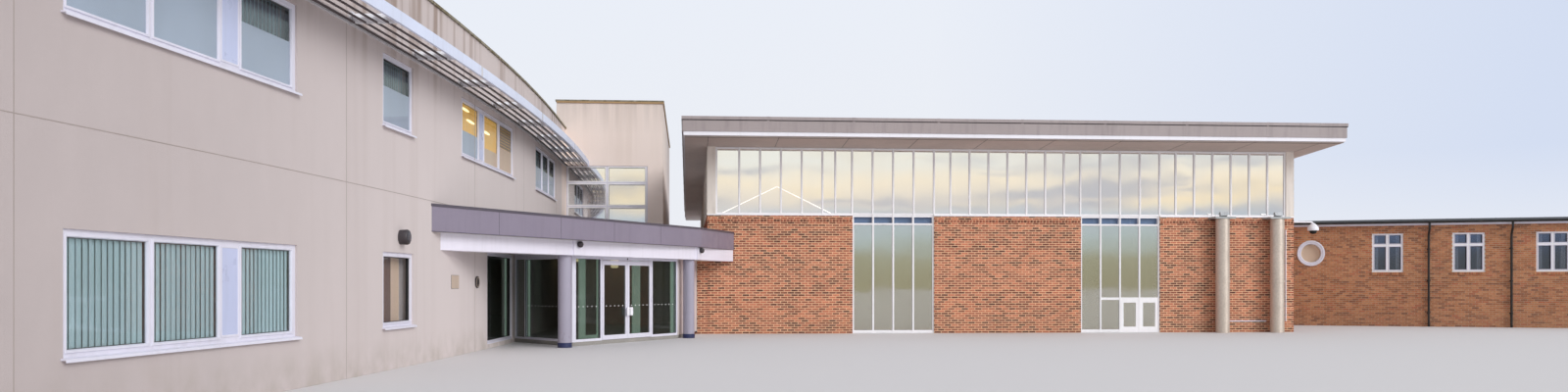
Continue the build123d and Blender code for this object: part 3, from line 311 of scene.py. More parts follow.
class Shape:
    """Gathers closed forms in the model's coordinates and makes one piece of them."""

    def __init__(self, place=level):
        self.place = place
        self.points = []
        self.faces = []
        self.tones = []

    def loft(self, rings, closed=False, tone=0.5, place=None):
        """Joins rings of as many points each. An open row of rings gets a cap at each end."""
        place = place or self.place
        count = len(rings[0])
        rows = []
        for ring in rings:
            rows.append([len(self.points) + k for k in range(count)])
            self.points += [place(*point) for point in ring]
        self.tones += [tone] * (count * len(rings))
        pairs = list(zip(rows, rows[1:]))
        if closed:
            pairs.append((rows[-1], rows[0]))
        for low, high in pairs:
            for k in range(count):
                after = (k + 1) % count
                self.faces.append((low[k], low[after], high[after], high[k]))
        if not closed:
            self.faces += [rows[0][::-1], rows[-1]]

    def run(self, x_low, x_high, profile, steps=1, tone=0.5):
        """A (y, z) profile carried along x, in steps where the place is curved."""
        xs = [x_low + (x_high - x_low) * k / steps for k in range(steps + 1)]
        self.loft([[(x, y, z) for y, z in profile] for x in xs], tone=tone)

    def bar(self, x_low, x_high, y_low, y_high, z_low, z_high, steps=1, tone=0.5):
        self.run(x_low, x_high, oblong(y_low, y_high, z_low, z_high), steps, tone)

    def rib(self, middle, half, *sides):
        """A bar that reaches as far to the left of its middle as to the right."""
        self.bar(middle - half, middle + half, *sides)

    def plate(self, outline, y_low, y_high):
        """An (x, z) outline from y_low to y_high."""
        self.loft([[(x, y, z) for x, z in outline] for y in (y_low, y_high)])

    def slab(self, outline, z_low, z_high, tone=0.5):
        """An (x, y) outline from z_low to z_high."""
        self.loft([[(x, y, z) for x, y in outline] for z in (z_low, z_high)], tone=tone)

    def sash(self, x_low, x_high, z_low, z_high, profile):
        """A mitred rectangular ring: its profile is (inset, y)."""
        corners = zip(oblong(x_low, x_high, z_low, z_high), oblong(1, -1, 1, -1))
        rings = [[(x + i * d, y, z + k * d) for d, y in profile] for (x, z), (i, k) in corners]
        self.loft(rings, closed=True)

    def turned(self, x, y, profile, sides):
        """A (radius, z) profile turned about an upright axis."""
        spokes = [(math.cos(t), math.sin(t)) for t in turns(sides)]
        self.loft([[(x + r * i, y + r * k, z) for i, k in spokes] for r, z in profile])

    def dial(self, x, z, profile, sides, closed=False, squeeze=1.0):
        """A (radius, y) profile turned about an axis that leads into the wall."""
        spokes = [(squeeze * math.cos(t), math.sin(t)) for t in turns(sides)]
        self.loft([[(x + r * i, y, z + r * k) for i, k in spokes] for r, y in profile], closed)

    def tube(self, route, radius, sides):
        """A round bar along points, mitred at its corners."""
        route = [self.place(*point) for point in route]
        runs = [(b - a).normalized() for a, b in zip(route, route[1:])]
        side = runs[0].orthogonal().normalized()
        rings = []
        for index, point in enumerate(route):
            before = runs[max(index - 1, 0)]
            after = runs[min(index, len(runs) - 1)]
            if index:
                side = (side - before * side.dot(before)).normalized()
            cut = (before + after).normalized()
            other = before.cross(side)
            ring = []
            for turn in turns(sides):
                spoke = (side * math.cos(turn) + other * math.sin(turn)) * radius
                ring.append(point + spoke - before * (spoke.dot(cut) / before.dot(cut)))
            rings.append(ring)
        self.loft(rings, place=level)

    def finish(self, name, finish, slot="white_metal", body="building", smooth=0):
        mesh = bpy.data.meshes.new(name)
        mesh.from_pydata(self.points, [], self.faces)
        edit = bmesh.new()
        edit.from_mesh(mesh)
        bmesh.ops.recalc_face_normals(edit, faces=edit.faces)
        edit.to_mesh(mesh)
        edit.free()
        if smooth:
            mesh.shade_smooth()
            mesh.set_sharp_from_angle(angle=math.radians(smooth))
        tone = mesh.attributes.new("tone", "FLOAT", "POINT")
        tone.data.foreach_set("value", self.tones)
        mesh.materials.append(finish.material)
        piece = add_object(name, mesh)
        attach(piece, body)


def shapes(count, place=level):
    """Empty shapes for as many pieces, all in one place."""
    return [Shape(place) for _ in range(count)]


# Finishes of the walls
def render_finish():
    """Cream painted render: faint clouding, long streaks, grime under the copings with painted
    shade under the sunshade, and painted light on the far end and on the end block.
    """
    finish = Finish("painted_render", (185, 173, 171), 0.88)
    between, times, grain = finish.between, finish.times, finish.grain
    x, y, height = finish.axes
    finish.mottle(0.7, 0.95, 1.03)
    finish.mottle(5.0, 0.98, 1.02, (1, 1, 0.5))
    # Painted light: the wall is painted lighter towards its far end, standing in for the brighter
    # light there.
    finish.stain(between(y, -15, -5), (247, 236, 233), 0.6)
    streak = between(grain(5.5, (1, 1, 0.05), 5), 0.46, 0.68)
    streaks = times(streak, between(grain(1.1, (1, 1, 0.1), 3), 0.42, 0.62))
    # Grime streaks under the copings, and below them painted shade under the sunshade.
    grime_and_shade_under_top = between(height, wing_top - 1.05, wing_top - 0.4)
    finish.stain(times(grime_and_shade_under_top, between(streaks, 0, 0.6, 0.25, 1)), (150, 128, 114), 0.78)
    finish.stain(streaks, (160, 138, 122), 0.1)
    under_sill = between(height, 0.32, 0.0)
    finish.stain(times(under_sill, between(grain(4), 0.35, 0.65)), (150, 142, 122), 0.4)
    # Painted light: the end block's face is painted lighter, standing in for the brighter light on
    # it.
    block_painted_light = times(between(y, 2.6, 2.8), between(height, 1.3, 1.8), between(y, 9, 5))
    near_corner = between(x, wing_face_x - 1.5, wing_face_x - 0.1)
    finish.stain(times(block_painted_light, near_corner), (252, 235, 224), 0.8)
    block_top = between(height, wing_top - 0.1, wing_top + 0.5)
    block_streak = between(grain(9, (1, 1, 0.06), 5), 0.4, 0.7, 0.2, 1)
    finish.stain(times(block_top, block_streak), (140, 128, 118), 0.34)
    finish.relief(finish.math("ADD", grain(160, detail=3), grain(22)), 0.0012)
    return finish


def brick_finish(name, colours, mortar_dust):
    """Brick: each one has its own tone, and each face its own clouds and pits."""
    finish = Finish(name, (170, 95, 70), 0.86)
    tone = finish.node("Attribute", attribute_name="tone").outputs["Fac"]
    count = len(colours) - 1
    finish.paint(finish.ramp(tone, [(k / count, colour) for k, colour in enumerate(colours)]))
    finish.mottle(28, 0.82, 1.12)
    finish.mottle(0.9, 0.92, 1.05)
    finish.stain(finish.between(finish.grain(60), 0.56, 0.72), mortar_dust, 0.3)
    finish.stain(finish.between(finish.axes[2], 0.35, 0.0), (120, 96, 80), 0.25)
    finish.relief(finish.grain(120), 0.0015)
    return finish


def mortar_finish(name, colour):
    finish = Finish(name, colour, 0.95)
    finish.mottle(3.0, 0.86, 1.06)
    finish.mottle(70, 0.9, 1.08)
    finish.relief(finish.grain(220), 0.001)
    return finish


def coping_finish():
    """Weathered coping with moss and pale lichen."""
    finish = Finish("mossy_coping", (150, 142, 124), 0.93)
    finish.mottle(4, 0.8, 1.1)
    finish.stain(finish.between(finish.grain(9, detail=6), 0.46, 0.6), (104, 92, 58), 0.75)
    finish.stain(finish.between(finish.grain(38), 0.62, 0.68), (186, 180, 158), 0.6)
    finish.relief(finish.grain(90, detail=6), 0.003)
    return finish


# Finishes of paint, roofs, metal, glass and cloth, and of what is lit
def paint_finish(name, colour, roughness=0.42, dirt=0.18, dirt_colour=(120, 112, 100)):
    """Factory-painted metal or plastic with thin rain dirt."""
    finish = Finish(name, colour, roughness)
    finish.mottle(1.6, 0.96, 1.03)
    streak = finish.between(finish.grain(14, (1, 1, 0.12), 5), 0.5, 0.75)
    finish.stain(streak, dirt_colour, dirt)
    finish.dull(7, roughness - 0.06, roughness + 0.12)
    finish.relief(finish.grain(55, detail=2), 0.0004)
    return finish


def two_sided_finish(name, top, under, roughness, further_in_colour=None):
    """A roof deck: one colour above, another on its underside, and another further in."""
    finish = Finish(name, under, roughness)
    finish.stain(finish.between(finish.axes[1], -0.5, 5), further_in_colour or under)
    finish.stain(finish.between(finish.up(), -0.2, 0.2), top)
    finish.mottle(0.8, 0.9, 1.05)
    finish.mottle(9, 0.95, 1.04)
    finish.relief(finish.grain(60), 0.001)
    return finish


def post_finish():
    """Lilac-grey posts with a dark blue band at the foot."""
    finish = Finish("post_paint", (168, 163, 179), 0.38)
    height = finish.axes[2]
    finish.mottle(2.5, 0.94, 1.04, (1, 1, 0.3))
    finish.stain(finish.between(height, 0.064, 0.062), (44, 52, 92))
    scuff = finish.between(finish.grain(30, (1, 1, 0.5)), 0.6, 0.72)
    finish.stain(finish.times(scuff, finish.between(height, 0.5, 0.1)), (110, 108, 112), 0.4)
    finish.dull(9, 0.3, 0.5)
    return finish


def metal_finish(name, colour, roughness):
    """Bare or galvanised sheet with a soft spangle."""
    finish = Finish(name, colour, roughness, Metallic=0.55)
    cells = finish.node("TexVoronoi", {"Vector": finish.place, "Scale": 30}).outputs[0]
    finish.shade(finish.between(cells, 0.0, 0.8, 0.92, 1.05))
    finish.mottle(3, 0.88, 1.06, (1, 1, 0.2))
    finish.dull(12, roughness - 0.08, roughness + 0.12, (1, 1, 0.3))
    return finish


def glass_finish(name, colour, solid, mirror):
    """Window glass: solid is how little goes through one face, mirror its share of reflection."""
    finish = Finish(name, colour, 0.03, Metallic=mirror, Alpha=solid)
    finish.mottle(0.6, 0.94, 1.0)
    finish.dull(3, 0.015, 0.05, (1, 1, 0.4))
    finish.relief(finish.grain(1.3, detail=1), 0.0015)
    return finish


def cloth_finish(name, colour, roughness=0.9, through=0.25):
    """Thin woven fabric that lets a little light through."""
    spread = {"Subsurface_Weight": through, "Subsurface_Radius": (0.01, 0.01, 0.01)}
    finish = Finish(name, colour, roughness, **spread)
    finish.mottle(2.2, 0.9, 1.05, (1, 1, 0.3))
    inputs = {"Vector": finish.place, "Scale": 160, "Distortion": 1.5}
    weave = finish.node("TexWave", inputs, bands_direction="Z").outputs[1]
    finish.stain(weave, (90, 96, 92), 0.08)
    finish.relief(weave, 0.0003)
    return finish


def lit_finish(name, colour, strength):
    """A lamp, or a part with a painted glow, such as lamplight on a room's wall and light on parts
    seen through glass.
    """
    finish = Finish(name, colour, 0.6, Emission_Color=srgb(*colour), Emission_Strength=strength)
    finish.mottle(6, 0.9, 1.05)
    return finish


RENDER = render_finish()
HALL_COLOURS = ((98, 54, 46), (142, 80, 60), (168, 98, 76), (192, 112, 84), (212, 130, 98))
LOW_COLOURS = ((138, 90, 68), (168, 108, 74), (184, 122, 84), (196, 136, 96), (178, 104, 74))
HALL_BRICK = brick_finish("hall_brick", HALL_COLOURS, (206, 184, 160))
LOW_BRICK = brick_finish("low_brick", LOW_COLOURS, (186, 164, 138))
HALL_MORTAR = mortar_finish("hall_mortar", (246, 206, 166))
LOW_MORTAR = mortar_finish("low_mortar", (188, 168, 142))
COPING = coping_finish()
WHITE = paint_finish("white_frames", (230, 228, 240), 0.4, 0.1)
# Painted shade and sky light: the white panels between the lights are tinted blue, as they look in
# shade under a blue sky.
PANEL_SKYLIT_SHADE = paint_finish("window_panel", (200, 208, 238), 0.3, 0.08)
SHADE_WHITE = paint_finish("sunshade_paint", (214, 212, 216), 0.45, 0.3, (128, 116, 104))
# Painted highlight: a brighter copy of the sunshade's paint for the bracket cheeks, standing in for
# their sunlit faces.
SHADE_CHEEK_HIGHLIGHT = paint_finish("sunshade_cheek_highlight", (246, 246, 250), 0.4, 0.08)
SHADE_STRIP = paint_finish("sunshade_strip_paint", (224, 231, 252), 0.4, 0.08)
# Painted shade: dark strips under the blades' lower edges stand in for the shade in the gaps
# between the blades.
SUNSHADE_GAP_SHADE = paint_finish("sunshade_gap_shade", (96, 86, 88), 0.7, 0.2)
STRIP_WHITE = paint_finish("strip_paint", (250, 248, 254), 0.4, 0.06)
# Painted highlight: a whiter copy of the frame paint, used on frames that stand in shade.
MULLION_WHITE_HIGHLIGHT = paint_finish("mullion_paint_highlight", (252, 250, 252), 0.35, 0.05)
BOARDS = paint_finish("white_boards", (240, 230, 220), 0.6, 0.25)
HALL_FASCIA = paint_finish("hall_fascia_paint", (170, 158, 157), 0.45, 0.2, (80, 74, 72))
CANOPY_FASCIA = paint_finish("canopy_fascia_paint", (142, 133, 150), 0.4, 0.16, (104, 96, 104))
CANOPY_EDGE = paint_finish("canopy_edge_paint", (86, 80, 92), 0.42, 0.2)
BEAM_WHITE = paint_finish("canopy_beam_paint", (242, 238, 250), 0.45, 0.06)
# The hall's soffit colour is painted lighter than its panels, a painted highlight standing in for
# light bounced up from the ground.
HALL_ROOF = two_sided_finish(
    "hall_roofing", (120, 120, 122), (206, 188, 180), 0.75, (255, 250, 250)
)
CANOPY_ROOF = two_sided_finish("canopy_roofing", (122, 120, 120), (206, 202, 200), 0.7)
FLAT_ROOF = mortar_finish("roof_membrane", (112, 112, 114))
LOW_ROOF = two_sided_finish("low_roofing", (122, 126, 132), (84, 86, 90), 0.6)
CONCRETE = mortar_finish("concrete_floor", (160, 156, 150))
FLUE_METAL = metal_finish("flue_sheet", (222, 208, 196), 0.42)
STEEL = metal_finish("galvanised_steel", (168, 170, 172), 0.4)
GUTTER_BLACK = paint_finish("gutter_black", (34, 34, 36), 0.35, 0.15)
RUBBER = paint_finish("black_gasket", (26, 26, 28), 0.7, 0.05)
# Painted glow: the clerestory's braces glow faintly so that they show pale through the glass; they
# are no lamp.
BRACE_PAINTED_GLOW = lit_finish("clerestory_brace", (246, 242, 234), 0.55)
SEAL_GREY = paint_finish("grey_seal", (152, 150, 154), 0.7, 0.05)
DARK_GREY = paint_finish("dark_grey_paint", (64, 58, 62), 0.5, 0.1)
PALE_PLATE = paint_finish("pale_plate", (206, 186, 168), 0.5, 0.12)
LENS_GREY = paint_finish("lamp_lens", (78, 78, 86), 0.25, 0.05)
LOUVRE = paint_finish("room_louvres", (140, 122, 98), 0.6, 0.1)
BLOCK_COPING = mortar_finish("lichened_coping", (186, 152, 112))
SPANDREL = paint_finish("spandrel_blue", (98, 120, 152), 0.2, 0.08)
POSTS = post_finish()
CLERESTORY = glass_finish("clerestory_glass", (255, 253, 252), 0.97, 0.95)
TALL_GLASS = glass_finish("tall_glass", (252, 252, 250), 0.68, 0.94)
ROOM_GLASS = glass_finish("room_glass", (214, 228, 232), 0.08, 0.9)
BLOCK_GLASS = glass_finish("block_glass", (255, 255, 255), 0.88, 0.97)
LOBBY_GLASS = glass_finish("lobby_glass", (52, 56, 50), 0.42, 0.2)
LOW_GLASS = glass_finish("low_glass", (150, 162, 204), 0.36, 0.9)
BLIND = cloth_finish("blind_fabric", (184, 212, 218))
FILM = cloth_finish("privacy_film", (176, 188, 206), 0.6, 0.4)
# Painted reflection: a cream sheet behind the end block's right-hand lights stands in for the
# bright clouds reflected there.
CREAM_REFLECTION_SHEET = cloth_finish("cream_reflection_sheet", (255, 250, 230))
WARM_BLIND = cloth_finish("warm_blind", (222, 196, 172))
LIT_ROOM = lit_finish("lit_room", (226, 178, 84), 0.25)
LIT_LAMP = lit_finish("lit_lamp", (255, 244, 190), 1.0)
# Painted glow: the inner screen and the strips at the entrance panes' edges glow though they are no
# lamp; the strips stand in for the glass's green edges.
LOBBY_WALLING_GLOW = lit_finish("inner_screen", (176, 210, 190), 0.5)
CURTAIN = cloth_finish("curtain_fabric", (220, 222, 226))

NODES_OF_FINISHES = (
    (RENDER, "block_back_wall block_front_wall block_side_walls lobby_walls wing_back_wall"),
    (RENDER, "wing_end_walls wing_shared_wall wing_front_bay_1 wing_front_bay_2"),
    (RENDER, "wing_front_bay_3 wing_front_bay_4 wing_front_bay_5"),
    (FLAT_ROOF, "block_roof wing_roof"),
    (BEAM_WHITE, "canopy_beam"),
    (CANOPY_FASCIA, "canopy_fascia"),
    (CANOPY_ROOF, "canopy_roof"),
    (MULLION_WHITE_HIGHLIGHT, "clerestory_frames low_window_frames tall_window_frames"),
    (CLERESTORY, "clerestory_glass"),
    (WHITE, "door_left door_right entrance_screen_frame hall_columns wing_window_frames"),
    (LOBBY_GLASS, "door_left_glass door_right_glass entrance_glass"),
    (POSTS, "entrance_posts"),
    (STEEL, "flue_fixings"),
    (FLUE_METAL, "flues"),
    (HALL_MORTAR, "hall_back_brick hall_front_brick hall_side_brick"),
    (HALL_FASCIA, "hall_fascia"),
    (CONCRETE, "hall_floor lobby_floor low_floor wing_floor wing_upper_floor"),
    (HALL_ROOF, "hall_roof"),
    (BOARDS, "hall_side_cladding"),
    (LOW_MORTAR, "low_back_wall low_end_wall low_front_wall"),
    (GUTTER_BLACK, "low_gutter"),
    (LOW_ROOF, "low_roof"),
    (LOW_GLASS, "low_window_glass"),
    (COPING, "parapet_copings"),
    (STRIP_WHITE, "soffit_strip"),
    (SPANDREL, "spandrel_panels"),
    (SHADE_WHITE, "sunshade_blades"),
    (SHADE_STRIP, "sunshade_strip"),
    (TALL_GLASS, "tall_window_glass"),
    (ROOM_GLASS, "wing_glass"),
)
node_finishes = {name: finish for finish, names in NODES_OF_FINISHES for name in names.split()}
for name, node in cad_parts.items():
    node.data.materials.clear()
    node.data.materials.append(node_finishes[name].material)

block_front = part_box("block_front_wall")[0].y
LOBBY_HEAD = 1.5
LOBBY_START = -4.3


def part_wing_glass():
    """The wing's panes are one node. Those on the lobby and on the end block get other glass."""
    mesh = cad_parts["wing_glass"].data
    for finish in (LOBBY_GLASS, BLOCK_GLASS):
        mesh.materials.append(finish.material)
    for polygon in mesh.polygons:
        middle = polygon.center
        if middle.y > block_front:
            polygon.material_index = 2
        elif middle.z < LOBBY_HEAD and middle.y > LOBBY_START:
            polygon.material_index = 1


part_wing_glass()


# Brickwork
BRICK_PITCH = 0.1125
JOINT = 0.006
HALL_JOINT = 0.0105
PROUD = 0.0025
SUNK = 0.002
TOOTH_PITCH = 0.053
TOOTH_REACH = 0.02


def round_hole(x, height, radius):
    def chord(z):
        if abs(z - height) >= radius:
            return None
        half = math.sqrt(radius ** 2 - (z - height) ** 2)
        return x - half, x + half

    return chord


def free_spans(length, holes, z):
    """The stretches of a wall that no hole takes away at a height."""
    edges = [0]
    for span in sorted(filter(None, (hole(z) for hole in holes))):
        edges += span
    edges.append(length)
    return zip(edges[0::2], edges[1::2])


def lay_bricks(shape, place, length, height, courses, holes=(), reveal=0.03, skip=(), joint=JOINT):
    """Bricks in stretcher bond on a wall's face. Those at an edge return into the reveal."""
    shape.place = place
    course = height / courses
    for row in range(courses):
        if row in skip:
            continue
        low = row * course + joint / 2
        high = low + course - joint
        shift = BRICK_PITCH / 2 * (row % 2)
        for left, right in free_spans(length, holes, (low + high) / 2):
            edge = shift + BRICK_PITCH * math.floor((left - shift) / BRICK_PITCH)
            while edge < right:
                tone = draws.random()
                start = max(left, edge + joint / 2)
                edge += BRICK_PITCH
                end = min(right, edge - joint / 2)
                if end - start < 2 * joint:
                    continue
                back = SUNK
                if start == left:
                    start -= PROUD
                    back = reveal
                if end == right:
                    end += PROUD
                    back = reveal
                front = -PROUD * draws.uniform(0.7, 1.2)
                shape.bar(start, end, front, back, low, high, tone=tone)


def lay_teeth(shape, length, low, high):
    """A dog-tooth course: bricks set cornerwise, so that their edges stand out in a row."""
    count = round(length / TOOTH_PITCH)
    step = length / count
    for k in range(count):
        left = step * k
        outline = ((left, SUNK), (left + step / 2, -TOOTH_REACH), (left + step, SUNK))
        shape.slab(outline, low + JOINT / 2, high - JOINT / 2, tone=draws.uniform(0.1, 0.8))


hall_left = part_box("hall_side_brick")[0].x
hall_right, _, hall_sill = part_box("hall_side_brick")[1]
hall_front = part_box("hall_front_brick")[0].y
hall_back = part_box("hall_back_brick")[1].y
HALL_SIDES = (
    line_place((hall_left, hall_back), (hall_left, hall_front)),
    line_place((hall_right, hall_front), (hall_right, hall_back)),
)
HALL_COURSES = 51
TOOTH_COURSE = 48
PIER_HEIGHT = 1.165
PIER_COURSES = 31
COLUMN_BAY = 1.9
FIRST_COLUMN = 0.175
BAYS = 5
TALL_BAYS = (1, 3)
TALL_GLAZING = 1.35
ROOF_FALL = 0.055
HALL_HEAD = 3.015


def soffit(y):
    return HALL_HEAD - ROOF_FALL * (y - hall_front)


def column_x(index):
    return hall_left + FIRST_COLUMN + COLUMN_BAY * index


def tall_span(bay):
    middle = (column_x(bay) + column_x(bay + 1)) / 2
    return middle - TALL_GLAZING / 2, middle + TALL_GLAZING / 2


def brick_panels():
    """The length of each stretch of brick, and its place on the front and on the back."""
    edges = [hall_left]
    for bay in TALL_BAYS:
        edges += tall_span(bay)
    edges.append(hall_right)
    for left, right in zip(edges[0::2], edges[1::2]):
        front = line_place((left, hall_front), (right, hall_front))
        yield right - left, (front, line_place((right, hall_back), (left, hall_back)))


def lay_hall_wall(shape, place, length):
    course = hall_sill / HALL_COURSES
    bond = {"skip": (TOOTH_COURSE,), "joint": HALL_JOINT}
    lay_bricks(shape, place, length, hall_sill, HALL_COURSES, **bond)
    lay_teeth(shape, length, TOOTH_COURSE * course, (TOOTH_COURSE + 1) * course)


def hall_bricks():
    front, back, sides = shapes(3)
    for length, places in brick_panels():
        for shape, place in zip((front, back), places):
            lay_hall_wall(shape, place, length)
    pier_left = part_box("hall_front_brick")[0].x
    pier = line_place((pier_left, hall_front), (hall_left, hall_front))
    lay_bricks(front, pier, hall_left - pier_left, PIER_HEIGHT, PIER_COURSES, joint=HALL_JOINT)
    for place in HALL_SIDES:
        lay_hall_wall(sides, place, hall_back - hall_front)
    front.finish("hall_front_bricks", HALL_BRICK, "brick")
    back.finish("hall_back_bricks", HALL_BRICK, "brick")
    sides.finish("hall_side_bricks", HALL_BRICK, "brick")


LOW_ORIGIN = (hall_right, hall_front + 3.9)
LOW_TURN = math.radians(-24)
LOW_LENGTH = 8.5
LOW_DEPTH = 4.2
LOW_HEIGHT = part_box("low_roof")[0].z
LOW_COURSES = 52
LOW_REVEAL = 0.016
# Width, sill, head and transom
LOW_WINDOW = (0.54, 1.03, 1.775, 1.54)
LOW_WINDOW_PLACES = [3.48 + 1.36 * k for k in range(4)]
LOW_BACK_PLACES = [LOW_LENGTH - place for place in LOW_WINDOW_PLACES]
# Place along the wall, height and radius
ROUND_WINDOW = (2.14, 1.4, 0.212)
ROUND_SURROUND = 0.036
LOW_BACK_START = LOW_DEPTH * math.tan(LOW_TURN)
SILL_DROP = 0.055
SILL_PITCH = 0.0375
low_end = (
    LOW_ORIGIN[0] + math.cos(LOW_TURN) * LOW_LENGTH,
    LOW_ORIGIN[1] + math.sin(LOW_TURN) * LOW_LENGTH,
)
low_front = line_place(LOW_ORIGIN, low_end)


def low_back(x, y, z):
    """The low wing's back face, seen from behind."""
    return low_front(LOW_LENGTH - x, LOW_DEPTH - y, z)


def low_gable(x, y, z):
    """The low wing's free end, seen from there."""
    return low_front(LOW_LENGTH - y, x, z)


def lay_low_wall(shape, place, length, spots, holes=()):
    """Bricks with window holes at spots, and a sill of bricks on edge that slopes outwards."""
    width, sill, head, _ = LOW_WINDOW

    def window_hole(spot):
        span = (spot - width / 2, spot + width / 2)
        return lambda z: span if sill - 0.05 < z < head else None

    holes = [*map(window_hole, spots), *holes]
    lay_bricks(shape, place, length, LOW_HEIGHT, LOW_COURSES, holes, LOW_REVEAL)
    count = round((width + 0.06) / SILL_PITCH)
    foot = sill - SILL_DROP
    profile = ((SUNK, foot), (-0.012, foot), (-0.012, sill - 0.012), (SUNK, sill))
    for spot in spots:
        for k in range(count):
            left = spot - count * SILL_PITCH / 2 + SILL_PITCH * k + JOINT / 2
            shape.run(left, left + SILL_PITCH - JOINT, profile, tone=draws.random())


def low_bricks():
    x, height, radius = ROUND_WINDOW
    front, rear = shapes(2)
    round_gap = round_hole(x, height, radius + ROUND_SURROUND)
    lay_low_wall(front, low_front, LOW_LENGTH, LOW_WINDOW_PLACES, [round_gap])
    front.finish("low_front_bricks", LOW_BRICK, "low_brick")
    lay_low_wall(rear, low_back, LOW_LENGTH - LOW_BACK_START, LOW_BACK_PLACES)
    lay_bricks(rear, low_gable, LOW_DEPTH, LOW_HEIGHT, LOW_COURSES, reveal=LOW_REVEAL)
    rear.finish("low_rear_bricks", LOW_BRICK, "low_brick")


hall_bricks()
low_bricks()


# Windows of the wing and of the end block
FRAME_BAR = 0.025
FRAME_FRONT = 0.016
GLASS_FRONT = 0.061
GLASS_BACK = 0.073
WIDE_PANEL = 0.26
WIDE_WINDOW = 2.72
LIT_WINDOW = -7.25
GROUND = (0.4, 1.1)
UPPER = (2.265, 2.935)
LOBBY_LIGHTS = (0.05, 1.2)


def wide_lights(width):
    light = (width - WIDE_PANEL - 4 * FRAME_BAR) / 3
    second = 2 * FRAME_BAR + light
    third = second + light + WIDE_PANEL
    return [(first, first + light) for first in (FRAME_BAR, second, third)]


def even_lights(width, count=1):
    light = (width - (count + 1) * FRAME_BAR) / count
    step = light + FRAME_BAR
    return [(FRAME_BAR + step * k, step * (k + 1)) for k in range(count)]


def mirrored(lights, width):
    return [(width - high, width - low) for low, high in reversed(lights)]


# Each window's left edge, width, sill and head, and the lights inside its frame
WINDOWS = (
    (-18.39, WIDE_WINDOW, *GROUND, wide_lights(WIDE_WINDOW)),
    (-14.36, WIDE_WINDOW, *GROUND, wide_lights(WIDE_WINDOW)),
    (-9.85, 0.85, *GROUND, even_lights(0.85)),
    (-6.02, 1.56, *LOBBY_LIGHTS, even_lights(1.56)),
    (-18.39, WIDE_WINDOW, *UPPER, wide_lights(WIDE_WINDOW)),
    (-14.36, WIDE_WINDOW, *UPPER, wide_lights(WIDE_WINDOW)),
    (-9.85, 0.85, *UPPER, even_lights(0.85)),
    (LIT_WINDOW, 2.85, *UPPER, mirrored(wide_lights(2.85), 2.85)),
    (-2.53, 2.40, *UPPER, even_lights(2.40, 3)),
)
SASH = (
    (0, GLASS_FRONT), (0, 0.011), (0.003, 0.008), (0.015, 0.008), (0.02, 0.02), (0.02, GLASS_FRONT)
)
GASKET = ((0.02, 0.03), (0.0235, 0.032), (0.0235, GLASS_FRONT), (0.02, GLASS_FRONT))
PANEL_TRIM = ((0, FRAME_FRONT), (0, 0.011), (0.012, 0.011), (0.016, FRAME_FRONT))
SILL = (
    (FRAME_FRONT, 0.004), (-0.03, -0.004), (-0.034, -0.022), (-0.03, -0.022), (-0.028, -0.01),
    (FRAME_FRONT, -0.01),
)
BLOCK_GLAZING = (-2.67, -1.15)
BLOCK_ROWS = (3.03, 2.71, 2.265, 1.7)
OUTER_PANE = (0.022, 0.024)
OUTER_FILM = (0.0255, 0.0265)
PANE_INSET = 0.0195
FILM_INSET = 0.002
ROOM_SHEET = (GLASS_BACK + 0.04, GLASS_BACK + 0.042)
SLAT_RAIL = 0.016
SLAT_THICKNESS = 0.0012
SLAT_BOW = 0.004


def window_places(left, width):
    """The same window on the wing's front, and on its back as seen from behind."""
    back = wing_line(left, width, WING_DEPTH - WALL)
    return wing_line(left, width), lambda x, y, z: back(width - x, WALL - y, z)


def glaze(sashes, gaskets, span, low, high, bead=SASH, gasket=GASKET):
    """The sash and the gasket round one pane."""
    sashes.sash(*span, low, high, bead)
    gaskets.sash(*span, low, high, gasket)


def dress_window(window, place, lights, sashes, gaskets, sills, panels):
    _, width, sill, head, _ = window
    for shape in (sashes, gaskets, sills, panels):
        shape.place = place
    for span in lights:
        glaze(sashes, gaskets, span, sill + FRAME_BAR, head - FRAME_BAR)
    for (_, left), (right, _) in zip(lights, lights[1:]):
        if right - left > 2 * FRAME_BAR:
            sashes.sash(left + 0.01, right - 0.01, sill + 0.04, head - 0.04, PANEL_TRIM)
            panels.bar(left + 0.025, right - 0.025, 0.0145, 0.018, sill + 0.05, head - 0.05)
    if sill > LOBBY_LIGHTS[0]:
        sills.run(-0.02, width + 0.02, [(y, sill + z) for y, z in SILL])


def hang_blinds(shape, place, left, right, low, high, turn, y=0.1, pitch=0.056):
    """Vertical slats on a head rail, each bowed a little and hanging at its own angle."""
    shape.place = place
    shape.bar(left, right, y - 0.012, y + 0.012, high - SLAT_RAIL, high)
    count = int((right - left) / pitch)
    for k in range(count):
        x = left + (k + 0.5) * (right - left) / count
        angle = turn + draws.uniform(-0.05, 0.05)
        reach = pitch * 0.57
        sine, cosine = math.sin(angle), math.cos(angle)
        middle = (x - sine * SLAT_BOW, y + cosine * SLAT_BOW)
        front = [(x - cosine * reach, y - sine * reach), middle,
                 (x + cosine * reach, y + sine * reach)]
        back = [(px, py + SLAT_THICKNESS) for px, py in reversed(front)]
        bottom = low + draws.uniform(0, 0.004)
        shape.slab(front + back, bottom, high - SLAT_RAIL, tone=draws.random())


